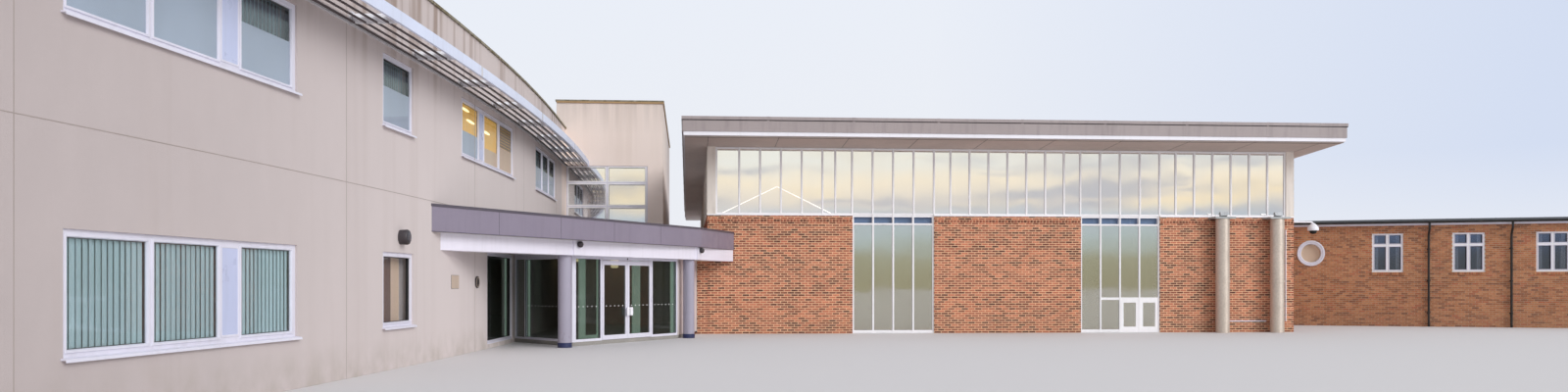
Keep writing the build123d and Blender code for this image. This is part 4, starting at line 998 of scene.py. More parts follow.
def light_room(place, sill, head, lights, films, screens):
    """The lit room: a warm wall and lamps behind the panes, film and screens over their lower
    parts, and louvres in the third light."""
    tall = head - sill
    bottom = sill + FRAME_BAR + FILM_INSET
    top = head - FRAME_BAR - FILM_INSET
    glow, lamps, slats = shapes(3, place)
    for low, high in lights:
        glow.bar(low + FILM_INSET, high - FILM_INSET, 0.035, 0.037, bottom, top)
    glow.finish("lit_room_wall", LIT_ROOM)
    for index, offset, height in ((0, 0.24, 0.84), (0, 0.5, 0.68), (1, 0.22, 0.64)):
        middle = lights[index][0] + offset
        z = sill + height * tall
        outline = [(middle + 0.2 * math.cos(t), z + 0.017 * math.sin(t)) for t in turns(16)]
        lamps.plate(outline, 0.031, 0.034)
    lamps.finish("lit_room_lamps", LIT_LAMP)
    films.place = place
    screens.place = place
    for (low, high), shape, share in zip(lights, (films, screens, screens), (0.46, 0.34, 0.5)):
        shape.bar(low + FILM_INSET, high - FILM_INSET, *OUTER_FILM, bottom, sill + share * tall)
    low, high = lights[2]
    for k in range(8):
        z = sill + (0.51 + 0.056 * k) * tall
        slats.bar(low + 0.022, high - 0.022, 0.027, 0.03, z, z + 0.029)
    slats.finish("lit_room_slats", LOUVRE)


def wing_windows():
    sashes, gaskets, sills, blinds, films, panels, walls, screens, panes = shapes(9)
    for window in WINDOWS:
        left, width, sill, head, lights = window
        front, back = window_places(left, width)
        dress_window(window, front, lights, sashes, gaskets, sills, panels)
        if sill != LOBBY_LIGHTS[0]:
            dress_window(window, back, mirrored(lights, width), sashes, gaskets, sills, panels)
        for shape in (films, walls, screens, panes):
            shape.place = front
        upper = sill == UPPER[0]
        bottom = sill + FRAME_BAR
        if upper or sill == GROUND[0] and width > 1:
            for low, high in lights:
                span = (low + PANE_INSET, high - PANE_INSET)
                panes.bar(*span, *OUTER_PANE, bottom + PANE_INSET, head - FRAME_BAR - PANE_INSET)
        if upper and left == LIT_WINDOW:
            light_room(front, sill, head, lights, films, screens)
        elif upper:
            hang_blinds(blinds, front, 0.03, width - 0.03, sill + 0.01, head - 0.01, 0.5)
            for index, (low, high) in enumerate(lights):
                share = 0.97 if index < 2 and width == WIDE_WINDOW else 0.56
                span = (low + FILM_INSET, high - FILM_INSET)
                films.bar(*span, *OUTER_FILM, bottom + FILM_INSET, sill + share * (head - sill))
        elif sill == GROUND[0] and width > 1:
            for low, high in lights:
                span = (low + 0.023, high - 0.023)
                hang_blinds(blinds, front, *span, sill + 0.045, head - 0.028, 0.16, 0.041)
        elif sill == GROUND[0]:
            room = (*ROOM_SHEET, sill + 0.002, head - 0.002)
            walls.bar(0.03, width * 0.62, *room)
            screens.bar(width * 0.62, width * 0.9, *room)
    sashes.finish("wing_sashes", WHITE)
    gaskets.finish("wing_gaskets", RUBBER, "black_metal")
    sills.finish("wing_sills", WHITE)
    blinds.finish("wing_blinds", BLIND)
    films.finish("wing_films", FILM)
    panels.finish("wing_panels", PANEL_SKYLIT_SHADE)
    walls.finish("wing_room_wall", paint_finish("room_brown", (112, 84, 70), 0.9, 0.4), "render")
    screens.finish("wing_room_screens", WARM_BLIND)
    panes.finish("wing_outer_panes", ROOM_GLASS, "glass")


def block_glazing():
    """Sashes and gaskets in the six lights of the end block's tall window, and a cream sheet behind
    its right-hand lights, a painted reflection of bright clouds.
    """
    sashes, gaskets, sheet = shapes(3)
    face = block_front + FRAME_FRONT
    glass = block_front + GLASS_FRONT
    half = FRAME_BAR / 2
    left, right = BLOCK_GLAZING
    middle = (left + right) / 2
    bead = ((0, glass), (0, face - 0.006), (0.018, face - 0.006), (0.022, face + 0.006),
            (0.022, glass))
    line = ((0.022, glass - 0.01), (0.026, glass - 0.008), (0.026, glass), (0.022, glass))
    for span in ((left + FRAME_BAR, middle - half), (middle + half, right - FRAME_BAR)):
        for head, sill in zip(BLOCK_ROWS, BLOCK_ROWS[1:]):
            glaze(sashes, gaskets, span, sill + half, head - half, bead, line)
    top, bottom = BLOCK_ROWS[0], BLOCK_ROWS[-1]
    # Painted reflection: the cream sheet stands in for the bright clouds these lights reflect.
    sheet.bar(middle + half, right - 0.01, glass + 0.02, glass + 0.022, bottom, top - 0.002)
    sheet.finish("block_reflection_sheet", CREAM_REFLECTION_SHEET)
    sashes.bar(left, right + 0.02, block_front - 0.03, face, bottom - 0.015, bottom)
    sashes.finish("block_sashes", MULLION_WHITE_HIGHLIGHT)
    gaskets.finish("block_gaskets", RUBBER, "black_metal")


wing_windows()
block_glazing()


# Wing: joints in the render, coping joints and the fittings on the face
BAY_JOINTS = (-14.73, -10.7, -6.65, -3.6, 0)
STRING_HEIGHT = 1.665
CURVE_STEPS = 90
COPING_REACH = 0.0205
COPING_JOINTS = [WING_NEAR_END + 0.5 + 0.98 * k for k in range(19)]
SHADE_END = block_front - wing_apex_y - 0.025
BRACKET_PLACES = [0.75 - 1.625 * k for k in range(12)]
BLADE_GAP = 0.435 / 4.5
STRIP_JOINTS = [-1.35 - 3.4 * k for k in range(6)]
LAMP_PLACE = -9.38
LAMP_HEIGHT = 1.25
PLATE_PLACE = -7.53
DISC_PLACE = -6.565
SIGN_HEIGHT = 0.825
ROUND_SIDES = 32
DISC_SQUEEZE = 1.25


def render_joints():
    shape = Shape(wing)
    for joint in BAY_JOINTS:
        shape.rib(joint, 0.003, -0.0012, SUNK, 0, wing_top)
    heights = (STRING_HEIGHT - 0.0025, STRING_HEIGHT + 0.0025)
    shape.bar(WING_NEAR_END, 0, -0.0014, SUNK, *heights, CURVE_STEPS)
    shape.finish("render_joints", paint_finish("joint_bead", (172, 160, 154), 0.8), "render")


def coping_joints():
    shape = Shape(wing)
    heights = (wing_top - 0.002, wing_top + 0.028 + 0.0015)
    for behind in (0, WING_DEPTH - WALL):
        depths = (behind - COPING_REACH - 0.001, behind + WALL + COPING_REACH + 0.001)
        for along in COPING_JOINTS:
            shape.bar(along, along + 0.012, *depths, *heights)
    shape.finish("coping_joints", mortar_finish("coping_joint", (92, 84, 66)), "coping")


def sunshade_fittings():
    """A rail on the wall, cheeks with a painted highlight on the brackets, dark strips of painted
    shade under the blades, covers on the joints.
    """
    shade, cheeks, gap_shades = shapes(3, wing)
    low, high = (corner.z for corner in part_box("sunshade_blades"))
    strip_low, strip_high = (corner.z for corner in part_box("sunshade_strip"))
    ends = (WING_NEAR_END, SHADE_END)
    shade.bar(*ends, -0.022, 0.002, low - 0.012, low + 0.03, CURVE_STEPS)
    for middle in BRACKET_PLACES:
        shade.rib(middle, 0.035, -0.03, -0.001, low - 0.016, high + 0.02)
        # Cheeks in the brighter paint: a painted highlight on the brackets' sunlit faces.
        cheeks.rib(middle, 0.0125, -0.434, -0.03, low - 0.001, high + 0.001)
    # Painted shade: a dark strip under each blade, for the shaded gap behind it.
    for k in range(4):
        edge = -BLADE_GAP * (k + 0.75) + 0.036
        gap_shades.bar(*ends, edge - 0.012, edge, low - 0.004, low + 0.012, CURVE_STEPS)
    for joint in STRIP_JOINTS:
        shade.rib(joint, 0.03, -0.4625, -0.456, strip_low - 0.001, strip_high + 0.001)
    shade.finish("sunshade_fittings", SHADE_WHITE)
    cheeks.finish("sunshade_cheeks", SHADE_CHEEK_HIGHLIGHT)
    gap_shades.finish("sunshade_gap_shades", SUNSHADE_GAP_SHADE, "grey_metal")


def spot_on_wing(along):
    """A place on the wing's face whose x is 0 at that spot."""
    base = line_place(wing(along - 0.1, 0, 0), wing(along + 0.1, 0, 0))
    return lambda x, y, z: base(x + 0.1, y, z)


def wall_fittings():
    """A round lamp, a bare plate and a bare disc on the wing's face."""
    black, lens = shapes(2, spot_on_wing(LAMP_PLACE))
    body = ((0.07, 0.002), (0.073, -0.07), (0.066, -0.084), (0.054, -0.088))
    black.dial(0, LAMP_HEIGHT, body, ROUND_SIDES)
    lens.dial(0, LAMP_HEIGHT, ((0.053, -0.08), (0.052, -0.091), (0.034, -0.097)), ROUND_SIDES)
    lens.finish("wall_lamp_lens", LENS_GREY, smooth=50)
    pale = Shape(spot_on_wing(PLATE_PLACE))
    black.place = pale.place
    black.rib(0, 0.1525, -0.002, 0.001, SIGN_HEIGHT - 0.0755, SIGN_HEIGHT + 0.0755)
    pale.rib(0, 0.149, -0.006, -0.001, SIGN_HEIGHT - 0.072, SIGN_HEIGHT + 0.072)
    black.place = pale.place = spot_on_wing(DISC_PLACE)
    disc = ((0.07, 0.001), (0.07, -0.016))
    ring = ((0.06, -0.012), (0.06, -0.0185), (0.053, -0.0185), (0.053, -0.012))
    black.dial(0, SIGN_HEIGHT, disc, ROUND_SIDES, squeeze=DISC_SQUEEZE)
    pale.dial(0, SIGN_HEIGHT, ring, ROUND_SIDES, closed=True, squeeze=DISC_SQUEEZE)
    black.finish("wall_fittings", DARK_GREY, "black_metal", smooth=50)
    pale.finish("wall_plates", PALE_PLATE, smooth=50)


def block_coping_band():
    """The block's coping is deeper than the wing's: a lichened band under its edge."""
    low, front_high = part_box("block_front_wall")
    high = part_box("block_side_walls")[1]
    heights = (front_high.z - 0.03, front_high.z + 0.027)
    reach = 0.0195
    shape = Shape()
    shape.bar(low.x, high.x + reach, low.y - reach, low.y + SUNK, *heights)
    shape.bar(high.x - SUNK, high.x + reach, low.y + SUNK, high.y, *heights)
    shape.finish("block_coping_band", BLOCK_COPING, "coping")


render_joints()
coping_joints()
sunshade_fittings()
wall_fittings()
block_coping_band()


# Hall: curtain walling, flashing, roof edge, soffit, boards, doors, fittings and flues
MULLION = 0.03
HALF_MULLION = MULLION / 2
FIRST_BAY_PANE = 0.338
STRAP_PITCH = 1.25
SOFFIT_PANELS = 9
GROOVE = 0.003
WALLING_INSET = 0.13
BRACE_PEAK = 2.38
BRACE_WIDTH = 0.035
BOARD = 0.075
DOOR_RAIL = (0.54, 0.58)
DOME_X = 10.09
DOME_Y = -0.03
ARM_HEIGHT = 1.845
FLUES_AT = (hall_left + 8.49, hall_left + 9.425)
FLUE_RADIUS = 0.112
FLUE_BANDS = (0.30, 0.42, 0.80, 0.89, 1.34, 1.46, 1.80)
FLUE_SEAM_TURN = math.radians(-62)
CAP_BACK = 0.03
OUTER_SHEET = (CAP_BACK + 0.006, CAP_BACK + 0.009)
TALL_FOOT = 0.05
TALL_HEAD = hall_sill - 0.1 - MULLION * 1.5
CAP = (
    (-0.0145, 0), (-0.0145, 0.009), (-0.01, 0.012), (0.01, 0.012), (0.0145, 0.009), (0.0145, 0)
)
TALL_GASKET = (
    (0, CAP_BACK + 0.003), (0.003, CAP_BACK + 0.004), (0.003, OUTER_SHEET[1]), (0, OUTER_SHEET[1])
)
hall_line = line_place((0, hall_front), (1, hall_front))


def mullion_places():
    places = []
    for bay in range(BAYS):
        left = column_x(bay)
        if bay in TALL_BAYS:
            start, end = tall_span(bay)
            places += [start + (end - start) / 4 * k for k in range(5)]
        elif bay == 0:
            places += [left + FIRST_BAY_PANE * k for k in range(1, 6)]
        else:
            places += [left + COLUMN_BAY / 6 * k for k in range(1, 6)]
        if bay < BAYS - 1:
            places.append(column_x(bay + 1))
    return places


def tall_panes_between(left, right):
    """The four panes' edges in a tall window, and the step from one to the next."""
    pane = (right - left - MULLION) / 4
    starts = [left + MULLION + pane * k for k in range(4)]
    return [(start, start + pane - MULLION) for start in starts], pane


def curtain_walling():
    """Pressure caps on the mullions and rails, a line of gasket on each side, and outer panes."""
    caps, gaskets, high_panes, tall_panes = made = shapes(4)
    back_line = line_place((0, hall_back), (-1, hall_back))
    head = soffit(hall_back) - 0.006
    foot = hall_sill + MULLION
    ends = (hall_left + WALLING_INSET, hall_right - WALLING_INSET)
    posts = (ends[0] + HALF_MULLION, *mullion_places(), ends[1] - HALF_MULLION)
    for place, sign, top in ((hall_line, 1, soffit(hall_front)), (back_line, -1, head)):
        for shape in made:
            shape.place = place
        uprights = sorted(sign * x for x in posts)
        for left, right in zip(uprights, uprights[1:]):
            span = (left + HALF_MULLION, right - HALF_MULLION)
            high_panes.bar(*span, *OUTER_SHEET, foot, top - MULLION)
        for x in uprights:
            caps.slab([(x + i, CAP_BACK - k) for i, k in CAP], hall_sill, top - 0.004)
            for side in (-1, 1):
                edge = x + side * HALF_MULLION
                span = sorted((edge, edge + side * 0.0015))
                gaskets.bar(*span, CAP_BACK + 0.003, CAP_BACK + 0.0065, foot, top - MULLION)
        low, high = sorted(sign * end for end in ends)
        for z in (hall_sill + HALF_MULLION, top - HALF_MULLION):
            caps.bar(low, high, CAP_BACK - 0.008, CAP_BACK, z - 0.01, z + 0.01)
        for bay in TALL_BAYS:
            left, right = sorted(sign * end for end in tall_span(bay))
            spans, pane = tall_panes_between(left, right)
            for k in range(5):
                middle = left + HALF_MULLION + pane * k
                caps.rib(middle, 0.011, CAP_BACK - 0.01, CAP_BACK, 0.0, hall_sill)
            for z in (TALL_HEAD, 0.025):
                caps.bar(left, right, CAP_BACK - 0.008, CAP_BACK, z - 0.011, z + 0.011)
            for span in spans:
                gaskets.sash(*span, TALL_FOOT, TALL_HEAD - HALF_MULLION, TALL_GASKET)
                tall_panes.bar(*span, *OUTER_SHEET, TALL_FOOT, TALL_HEAD - HALF_MULLION)
    caps.finish("curtain_wall_caps", MULLION_WHITE_HIGHLIGHT)
    gaskets.finish("curtain_wall_gaskets", SEAL_GREY, "black_metal")
    high_panes.finish("clerestory_outer_panes", CLERESTORY, "glass")
    tall_panes.finish("tall_outer_panes", TALL_GLASS, "glass")
    braces = Shape(hall_line)
    apex = (column_x(0) + column_x(1)) / 2
    tip = ((apex, BRACE_PEAK - 0.008), (apex, BRACE_PEAK + 0.008))
    for end, turn in ((column_x(0) + 0.06, 1), (column_x(1) - 0.06, -1)):
        braces.plate(((end, foot), (end + BRACE_WIDTH * turn, foot), *tip), 0.034, 0.0355)
    braces.finish("clerestory_braces", BRACE_PAINTED_GLOW)


def sill_flashing():
    shape = Shape()
    edges = ((0.03, 0.012), (-0.012, 0.004), (-0.014, -0.014), (-0.011, -0.014), (-0.009, 0),
             (0.03, 0.001))
    profile = [(y, hall_sill + z) for y, z in edges]
    for length, places in brick_panels():
        for place in places:
            shape.place = place
            shape.run(-0.004, length + 0.004, profile)
    shape.finish("sill_flashings", MULLION_WHITE_HIGHLIGHT)


def roof_edges():
    """Where the roof's edges lie, as places whose y leads inwards and whose x has a length."""
    low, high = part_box("hall_fascia")
    corners = oblong(low.x, high.x, low.y, high.y)
    for index, corner in enumerate(corners):
        after = corners[(index + 1) % 4]
        yield line_place(corner, after), math.dist(corner, after)


def fascia_joints():
    """Cover straps where the fascia's and the capping's lengths meet."""
    shape = Shape()
    lip = 0.014
    for place, length in roof_edges():
        shape.place = place
        count = round(length / STRAP_PITCH)
        for k in range(1, count):
            x = length * k / count
            base = soffit(place(x, 0, 0).y)
            shape.rib(x, 0.02, lip - 0.002, lip + 0.004, base + 0.078, base + 0.25)
            shape.rib(x, 0.025, -0.002, 0.004, base + 0.255, base + 0.305)
    shape.finish("fascia_straps", HALL_FASCIA, "grey_metal")


def fascia_shadow_lines():
    """A painted shadow: the dark line under the capping's lip, which follows the roof's fall on the
    sides.
    """
    shape = Shape()
    for place, length in roof_edges():
        shape.place = place
        rings = []
        for x in (0, length):
            base = soffit(place(x, 0, 0).y)
            rings.append([(x, *spot) for spot in oblong(0.0125, 0.018, base + 0.24, base + 0.254)])
        shape.loft(rings)
    shape.finish("fascia_shadow_lines", DARK_GREY, "grey_metal")


def soffit_joints():
    """Dark grooves between the soffit's panels and a vent strip along its outer edge."""
    shape = Shape()
    roof_low, roof_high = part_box("hall_roof")
    depth = 0.0015

    def follow(x_low, x_high, y_low, y_high):
        rings = []
        for y in (y_low, y_high):
            corners = oblong(x_low, x_high, soffit(y) - depth, soffit(y) + depth)
            rings.append([(x, y, z) for x, z in corners])
        shape.loft(rings)

    for k in range(SOFFIT_PANELS + 1):
        x = hall_left + (hall_right - hall_left) * k / SOFFIT_PANELS
        follow(x - GROOVE, x + GROOVE, roof_low.y + 0.01, hall_front)
        follow(x - GROOVE, x + GROOVE, hall_back, roof_high.y - 0.01)
    follow(roof_low.x + 0.01, roof_high.x - 0.01, roof_low.y + 0.06, roof_low.y + 0.085)
    shape.finish("soffit_grooves", RUBBER, "black_metal")


def side_boards():
    """Lapped white boards on the hall's sides, cut by the roof's slope at the top."""
    shape = Shape()
    rows = int((HALL_HEAD - hall_sill) / BOARD) + 1
    for side, place in enumerate(HALL_SIDES):
        shape.place = place
        for row in range(rows):
            low = hall_sill + BOARD * row
            high = low + BOARD
            reach = min(hall_back, hall_front + (HALL_HEAD - high) / ROOF_FALL)
            if reach <= hall_front + 0.2:
                continue
            span = (0, reach - hall_front) if side else (hall_back - reach, hall_back - hall_front)
            profile = ((0.002, low), (-0.009, low), (-0.009, low + 0.006), (-0.002, high),
                       (0.002, high))
            shape.run(*span, profile)
    shape.finish("side_boards", BOARDS, "cladding")


def tall_window_doors():
    """The second tall window's low rail, and the two glazed leaves below it."""
    shape = Shape(hall_line)
    left, right = tall_span(TALL_BAYS[1])
    spans, pane = tall_panes_between(left, right)
    face, glass = 0.026, 0.09
    leaf = ((0, glass), (0, face), (0.045, face), (0.05, glass))
    shape.bar(left + pane, right, face, glass, *DOOR_RAIL)
    for span in spans[2:]:
        shape.sash(*span, TALL_FOOT, DOOR_RAIL[0], leaf)
    shape.finish("tall_window_doors", MULLION_WHITE_HIGHLIGHT)


def hall_fittings():
    """A dome camera on an arm at the corner, and thin white pipes beside the flues."""
    white, dome = shapes(2)
    hood = ((0.012, 1.83), (0.03, 1.82), (0.06, 1.79), (0.085, 1.755), (0.09, 1.735),
            (0.09, 1.705), (0.082, 1.7))
    white.turned(DOME_X, DOME_Y, hood, 28)
    spots = ((hall_right - 0.002, ARM_HEIGHT), (DOME_X - 0.03, ARM_HEIGHT), (DOME_X, 1.82))
    white.tube([(x, DOME_Y, z) for x, z in spots], 0.014, 12)
    face = hall_front - 0.014
    white.tube(((9.58, face, 0.18), (9.58, face, 1.71)), 0.01, 12)
    white.tube(((8.53, face, 0.186), (9.24, face, 0.186)), 0.01, 12)
    white.finish("hall_corner_fittings", STRIP_WHITE, smooth=50)
    ball = ((0.06, 1.703), (0.058, 1.68), (0.044, 1.655), (0.02, 1.645))
    dome.turned(DOME_X, DOME_Y, ball, 28)
    dome.finish("corner_dome", RUBBER, "black_metal", smooth=60)


def flue_fittings():
    """Seams, bands and lamps on the flues."""
    low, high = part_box("flues")
    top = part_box("flue_fixings")[1].z
    y = low.y + 0.12
    inner, outer = FLUE_RADIUS - 0.002, FLUE_RADIUS + 0.004
    aside = (math.cos(FLUE_SEAM_TURN), math.sin(FLUE_SEAM_TURN))
    seams, lamps = shapes(2)
    for x in FLUES_AT:
        for z in FLUE_BANDS:
            ring = ((inner, z), (outer, z + 0.002), (outer, z + 0.008), (inner, z + 0.01))
            seams.turned(x, y, ring, 40)
        seams.place = line_place((x, y), (x + aside[0], y + aside[1]))
        reach = (FLUE_RADIUS - 0.001, FLUE_RADIUS + 0.0025)
        seams.bar(*reach, -0.009, 0.009, 0.01, high.z - 0.01)
        seams.place = level
        lamps.rib(x, 0.05, y - 0.02, y + 0.03, top, top + 0.012)
        head = ((-0.07, 0.02), (-0.04, 0.085), (0.02, 0.06), (-0.01, 0.008))
        lamps.run(x - 0.06, x + 0.06, [(y + i, top + k) for i, k in head])
    seams.finish("flue_seams", FLUE_METAL, "galvanised", smooth=40)
    lamps.finish("flue_lamps", STEEL, "galvanised")


curtain_walling()
sill_flashing()
fascia_joints()
fascia_shadow_lines()
soffit_joints()
side_boards()
tall_window_doors()
hall_fittings()
flue_fittings()


# Low wing: window sashes and curtains, round window, gutter fixings and roof seams
EAVES = 0.11
BRACKETS_AT = [0.3 + 0.61 * k for k in range(14)]
PIPES_AT = [4.17 + 1.36 * k for k in range(3)]
PIPE_CLIPS = (0.25, 0.85, 1.45)
PIPE_DEPTH = -0.0425
ROOF_SEAMS_AT = [0.12 + 0.4 * k for k in range(21)]


def low_windows():
    """Sashes, gaskets and curtains, and the round window's frame, surround and blind."""
    width, sill, head, transom = LOW_WINDOW
    sashes, gaskets, curtains, warm = shapes(4)
    light = (width - 3 * FRAME_BAR) / 2
    half = FRAME_BAR / 2
    rows = ((sill + FRAME_BAR, transom - half), (transom + half, head - FRAME_BAR))
    for place, spots in ((low_front, LOW_WINDOW_PLACES), (low_back, LOW_BACK_PLACES)):
        sashes.place = gaskets.place = place
        for spot in spots:
            left = spot - width / 2
            for column in range(2):
                start = left + FRAME_BAR + (light + FRAME_BAR) * column
                for row in rows:
                    glaze(sashes, gaskets, (start, start + light), *row)
            for start in (left + 0.02, left + width - 0.12):
                span = (start, start + 0.1)
                hang_blinds(curtains, place, *span, sill + 0.01, head - 0.01, 0.35, pitch=0.03)
    for shape in (sashes, gaskets, warm):
        shape.place = low_front
    x, height, radius = ROUND_WINDOW
    rim = radius + ROUND_SURROUND
    frame_inner = radius - 0.036
    seal = radius - 0.035
    frame_ring = ((radius, 0.02), (radius, -0.006), (radius - 0.008, -0.012),
                  (radius - 0.026, -0.012), (frame_inner, 0.004), (frame_inner, 0.02))
    rim_ring = ((rim, SUNK), (rim, -0.012), (rim - 0.006, -0.018), (radius + 0.006, -0.018),
                (radius, -0.012), (radius, SUNK))
    seal_ring = ((seal, 0.05), (seal, GLASS_FRONT), (seal - 0.004, GLASS_FRONT),
                 (seal - 0.004, 0.052))
    for shape, ring in ((sashes, frame_ring), (sashes, rim_ring), (gaskets, seal_ring)):
        shape.dial(x, height, ring, 48, closed=True)
    warm.dial(x, height, ((frame_inner, 0.054), (frame_inner, 0.056)), 48)
    warm.finish("round_window_blind", WARM_BLIND)
    sashes.finish("low_sashes", WHITE, smooth=35)
    gaskets.finish("low_gaskets", RUBBER, "black_metal")
    curtains.finish("low_curtains", CURTAIN)


def low_eaves():
    """White soffit board, gutter brackets, pipe clips and the roof sheet's upstands."""
    boards, black, seams = shapes(3, low_front)
    boards.bar(-0.02, LOW_LENGTH + 0.1, -EAVES + 0.005, 0.0, LOW_HEIGHT - 0.014, LOW_HEIGHT - 0.001)
    boards.bar(0.02, LOW_LENGTH, -0.014, SUNK, LOW_HEIGHT - 0.036, LOW_HEIGHT - 0.014)
    boards.finish("low_soffit_board", WHITE)
    top = LOW_HEIGHT + 0.035
    for x in BRACKETS_AT:
        black.rib(x, 0.008, -0.176, -0.108, top - 0.001, top + 0.004)
        black.rib(x, 0.008, -0.178, -0.173, top - 0.035, top + 0.004)
    for x in PIPES_AT:
        for z in PIPE_CLIPS:
            black.rib(x, 0.03, -0.024, 0, z, z + 0.022)
            black.turned(x, PIPE_DEPTH, ((0.023, z - 0.004), (0.023, z + 0.026)), 20)
        shoe = ((x, PIPE_DEPTH, 0.055), (x, PIPE_DEPTH, 0.043), (x, -0.075, 0.026))
        black.tube(shoe, 0.0195, 16)
    black.finish("gutter_fixings", GUTTER_BLACK, "black_metal", smooth=40)
    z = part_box("low_roof")[1].z
    for x in ROOF_SEAMS_AT:
        seams.bar(x, x + 0.008, 0.16, LOW_DEPTH - 0.16, z - 0.001, z + 0.022)
    edge = (-EAVES - 0.003, -EAVES + 0.012)
    seams.bar(-0.03, LOW_LENGTH + EAVES + 0.004, *edge, z - 0.045, z + 0.006)
    seams.finish("low_roof_seams", LOW_ROOF, "grey_metal")


low_windows()
low_eaves()


# Entrance: canopy edge, screens, marks and fittings
CANOPY_LINE = ((-3.075, -6.645), (-0.185, -1.525), (0.35, hall_front))
CANOPY_LOW, CANOPY_HIGH = (corner.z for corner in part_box("canopy_fascia"))
SCREEN_CORNER = (-1.87, -3.745)
SCREEN_END = (-0.54, -1.59)
SCREEN_WING_END = (-2.79, -2.45)
SCREEN_LENGTH = math.dist(SCREEN_CORNER, SCREEN_END)
RETURN_LENGTH = math.dist(SCREEN_WING_END, SCREEN_CORNER)
SCREEN_HEIGHT = 1.165
DOOR_LEFT = 0.65
DOOR_RIGHT = 1.84
BEAM_LINE = ((-1.935, -4.025), (-0.375, -1.475), (0.22, hall_front))
JOINT_PITCH = 1.2
FLOOR_TOP = 0.05
INNER_DEPTH = (0.3, 0.33)
SENSOR_HEIGHT = 1.147
LOBBY_LAMPS = ((-2.316, 1.6, 1.19), (-1.74, 2.9, 1.1))
DOT_PITCH = 0.095
DOT_RADIUS = 0.008
DOT_HEIGHT = 0.507
SCREEN_GLASS = 0.0163
LEAF_GLASS = 0.0078
LEAVES = (("left", (0.7, 1.1975), (1.175, 1.235)), ("right", (1.2925, 1.79), (1.255, 1.315)))
screen = line_place(SCREEN_CORNER, SCREEN_END)
screen_return = line_place(SCREEN_WING_END, SCREEN_CORNER)


def canopy_trim():
    edge, joints = shapes(2)
    for start, end in zip(CANOPY_LINE, CANOPY_LINE[1:]):
        length = math.dist(start, end)
        edge.place = joints.place = line_place(start, end)
        edge.bar(-0.004, length + 0.004, -0.008, 0.05, CANOPY_HIGH - 0.022, CANOPY_HIGH + 0.006)
        edge.bar(0, length, -0.003, 0.02, CANOPY_LOW - 0.003, CANOPY_LOW + 0.004)
        count = max(2, round(length / JOINT_PITCH))
        for k in range(1, count):
            x = length * k / count
            joints.rib(x, 0.0015, -0.0008, 0.002, CANOPY_LOW + 0.006, CANOPY_HIGH - 0.024)
    edge.finish("canopy_edge", CANOPY_EDGE, "grey_metal")
    joints.finish("canopy_joints", RUBBER, "grey_metal")


def entrance_screens():
    sashes, gaskets = shapes(2)
    bead = ((0, 0.044), (0, 0.001), (0.008, 0.001), (0.008, 0.016), (0.001, 0.018), (0.001, 0.044))
    line = ((0.008, 0.006), (0.011, 0.008), (0.011, 0.0165), (0.008, 0.0165))
    low = FLOOR_TOP + FRAME_BAR
    high = SCREEN_HEIGHT - FRAME_BAR
    for place, span in (
        (screen, (0.075, DOOR_LEFT - FRAME_BAR)),
        (screen, (DOOR_RIGHT + FRAME_BAR, SCREEN_LENGTH - FRAME_BAR)),
        (screen_return, (0.3, RETURN_LENGTH - 0.075)),
    ):
        sashes.place = gaskets.place = place
        glaze(sashes, gaskets, span, low, high, bead, line)
    sashes.finish("screen_beads", WHITE)
    gaskets.finish("screen_gaskets", RUBBER, "black_metal")


def lay_dots(shape, place, left, right, y):
    """A row of small discs that marks a pane."""
    shape.place = place
    count = int((right - left) / DOT_PITCH)
    first = (left + right - (count - 1) * DOT_PITCH) / 2
    disc = ((DOT_RADIUS, y - 0.0014), (DOT_RADIUS, y))
    for k in range(count):
        shape.dial(first + DOT_PITCH * k, DOT_HEIGHT, disc, 12)


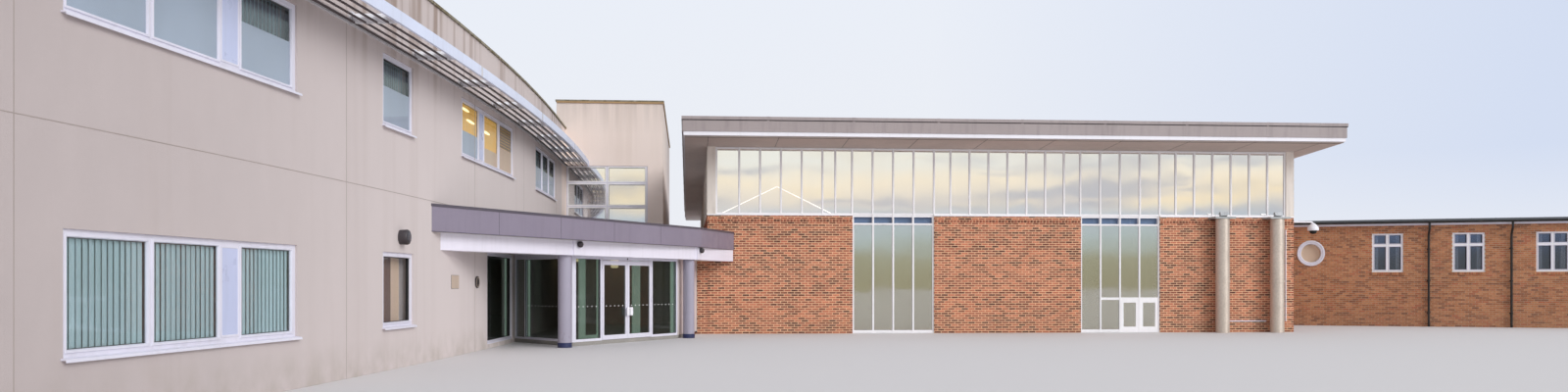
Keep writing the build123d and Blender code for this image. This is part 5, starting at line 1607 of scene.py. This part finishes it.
def entrance_marks():
    """Dots on the panes, a pull plate on each leaf, and the sensor over the doors."""
    fixed = Shape()
    lay_dots(fixed, screen, 0.09, DOOR_LEFT - 0.04, SCREEN_GLASS)
    lay_dots(fixed, screen, DOOR_RIGHT + 0.04, 2.49, SCREEN_GLASS)
    lay_dots(fixed, screen_return, 0.32, RETURN_LENGTH - 0.09, SCREEN_GLASS)
    fixed.finish("screen_dots", STRIP_WHITE)
    low, high, cut = 0.37, 0.483, 0.007
    for side, pane, (left, right) in LEAVES:
        leaf = Shape()
        lay_dots(leaf, screen, *pane, LEAF_GLASS)
        outline = [(left + cut, low), (right - cut, low), (right, low + cut), (right, high - cut),
                   (right - cut, high), (left + cut, high), (left, high - cut), (left, low + cut)]
        leaf.plate(outline, -0.044, -0.034)
        leaf.finish(f"door_{side}_marks", STRIP_WHITE, body=f"door_{side}")
    sensor = Shape(screen)
    cone = ((0.012, 0.001), (0.012, -0.003), (0.008, -0.006))
    sensor.dial((DOOR_LEFT + DOOR_RIGHT) / 2, SENSOR_HEIGHT, cone, 20)
    sensor.finish("door_sensor", RUBBER, "black_metal")


def canopy_fittings():
    """Two dark cameras on the beam and the black pipe at the brick pier."""
    shape = Shape()
    ball = ((0.02, -0.14), (0.034, -0.152), (0.041, -0.17), (0.039, -0.19), (0.022, -0.206))
    for start, end in zip(BEAM_LINE, BEAM_LINE[1:]):
        shape.place = line_place(start, end)
        shape.dial(0.095, 1.303, ball, 24)
    shape.place = level
    x, y = -0.255, hall_front - 0.02
    shape.tube(((x, y, 0.03), (x, y, CANOPY_LOW)), 0.015, 14)
    shape.finish("canopy_fittings", DARK_GREY, "black_metal", smooth=50)


def inner_screen():
    """What shows through the entrance glass: an inner screen and pale strips at the panes' edges,
    both with a painted glow, and two lamps.
    """
    frames = Shape(screen)
    for left, right, low, high in (
        (0.57, 0.69, FLOOR_TOP, CANOPY_LOW),
        (1.83, 2.0, FLOOR_TOP, CANOPY_LOW),
        (0.69, 1.0, FLOOR_TOP, 0.11),
        (0.975, 1.0, 0.11, CANOPY_LOW),
    ):
        frames.bar(left, right, *INNER_DEPTH, low, high)
    strip = (0.046, 0.05, 0.076, SCREEN_HEIGHT - 0.03)
    frames.bar(2.41, 2.5, *strip)
    frames.place = screen_return
    for left in (0.31, RETURN_LENGTH - 0.15):
        frames.bar(left, left + 0.06, *strip)
    left, width, _, head, _ = WINDOWS[3]
    frames.place = wing_line(left, width)
    frames.bar(width - 0.13, width - 0.03, 0.078, 0.082, 0.076, head - 0.03)
    frames.finish("inner_screen", LOBBY_WALLING_GLOW)
    lamps = Shape()
    for x, y, low in LOBBY_LAMPS:
        drum = ((0.05, low), (0.068, low + 0.012), (0.07, low + 0.03), (0.07, CANOPY_LOW - 0.001))
        lamps.turned(x, y, drum, 28)
    lamps.finish("lobby_lamps", LIT_LAMP, smooth=50)


canopy_trim()
entrance_screens()
entrance_marks()
canopy_fittings()
inner_screen()

size_rows = {"cad": cad_bounds, "visual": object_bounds()}
{name: [list(corner) for corner in box] for name, box in size_rows.items()}
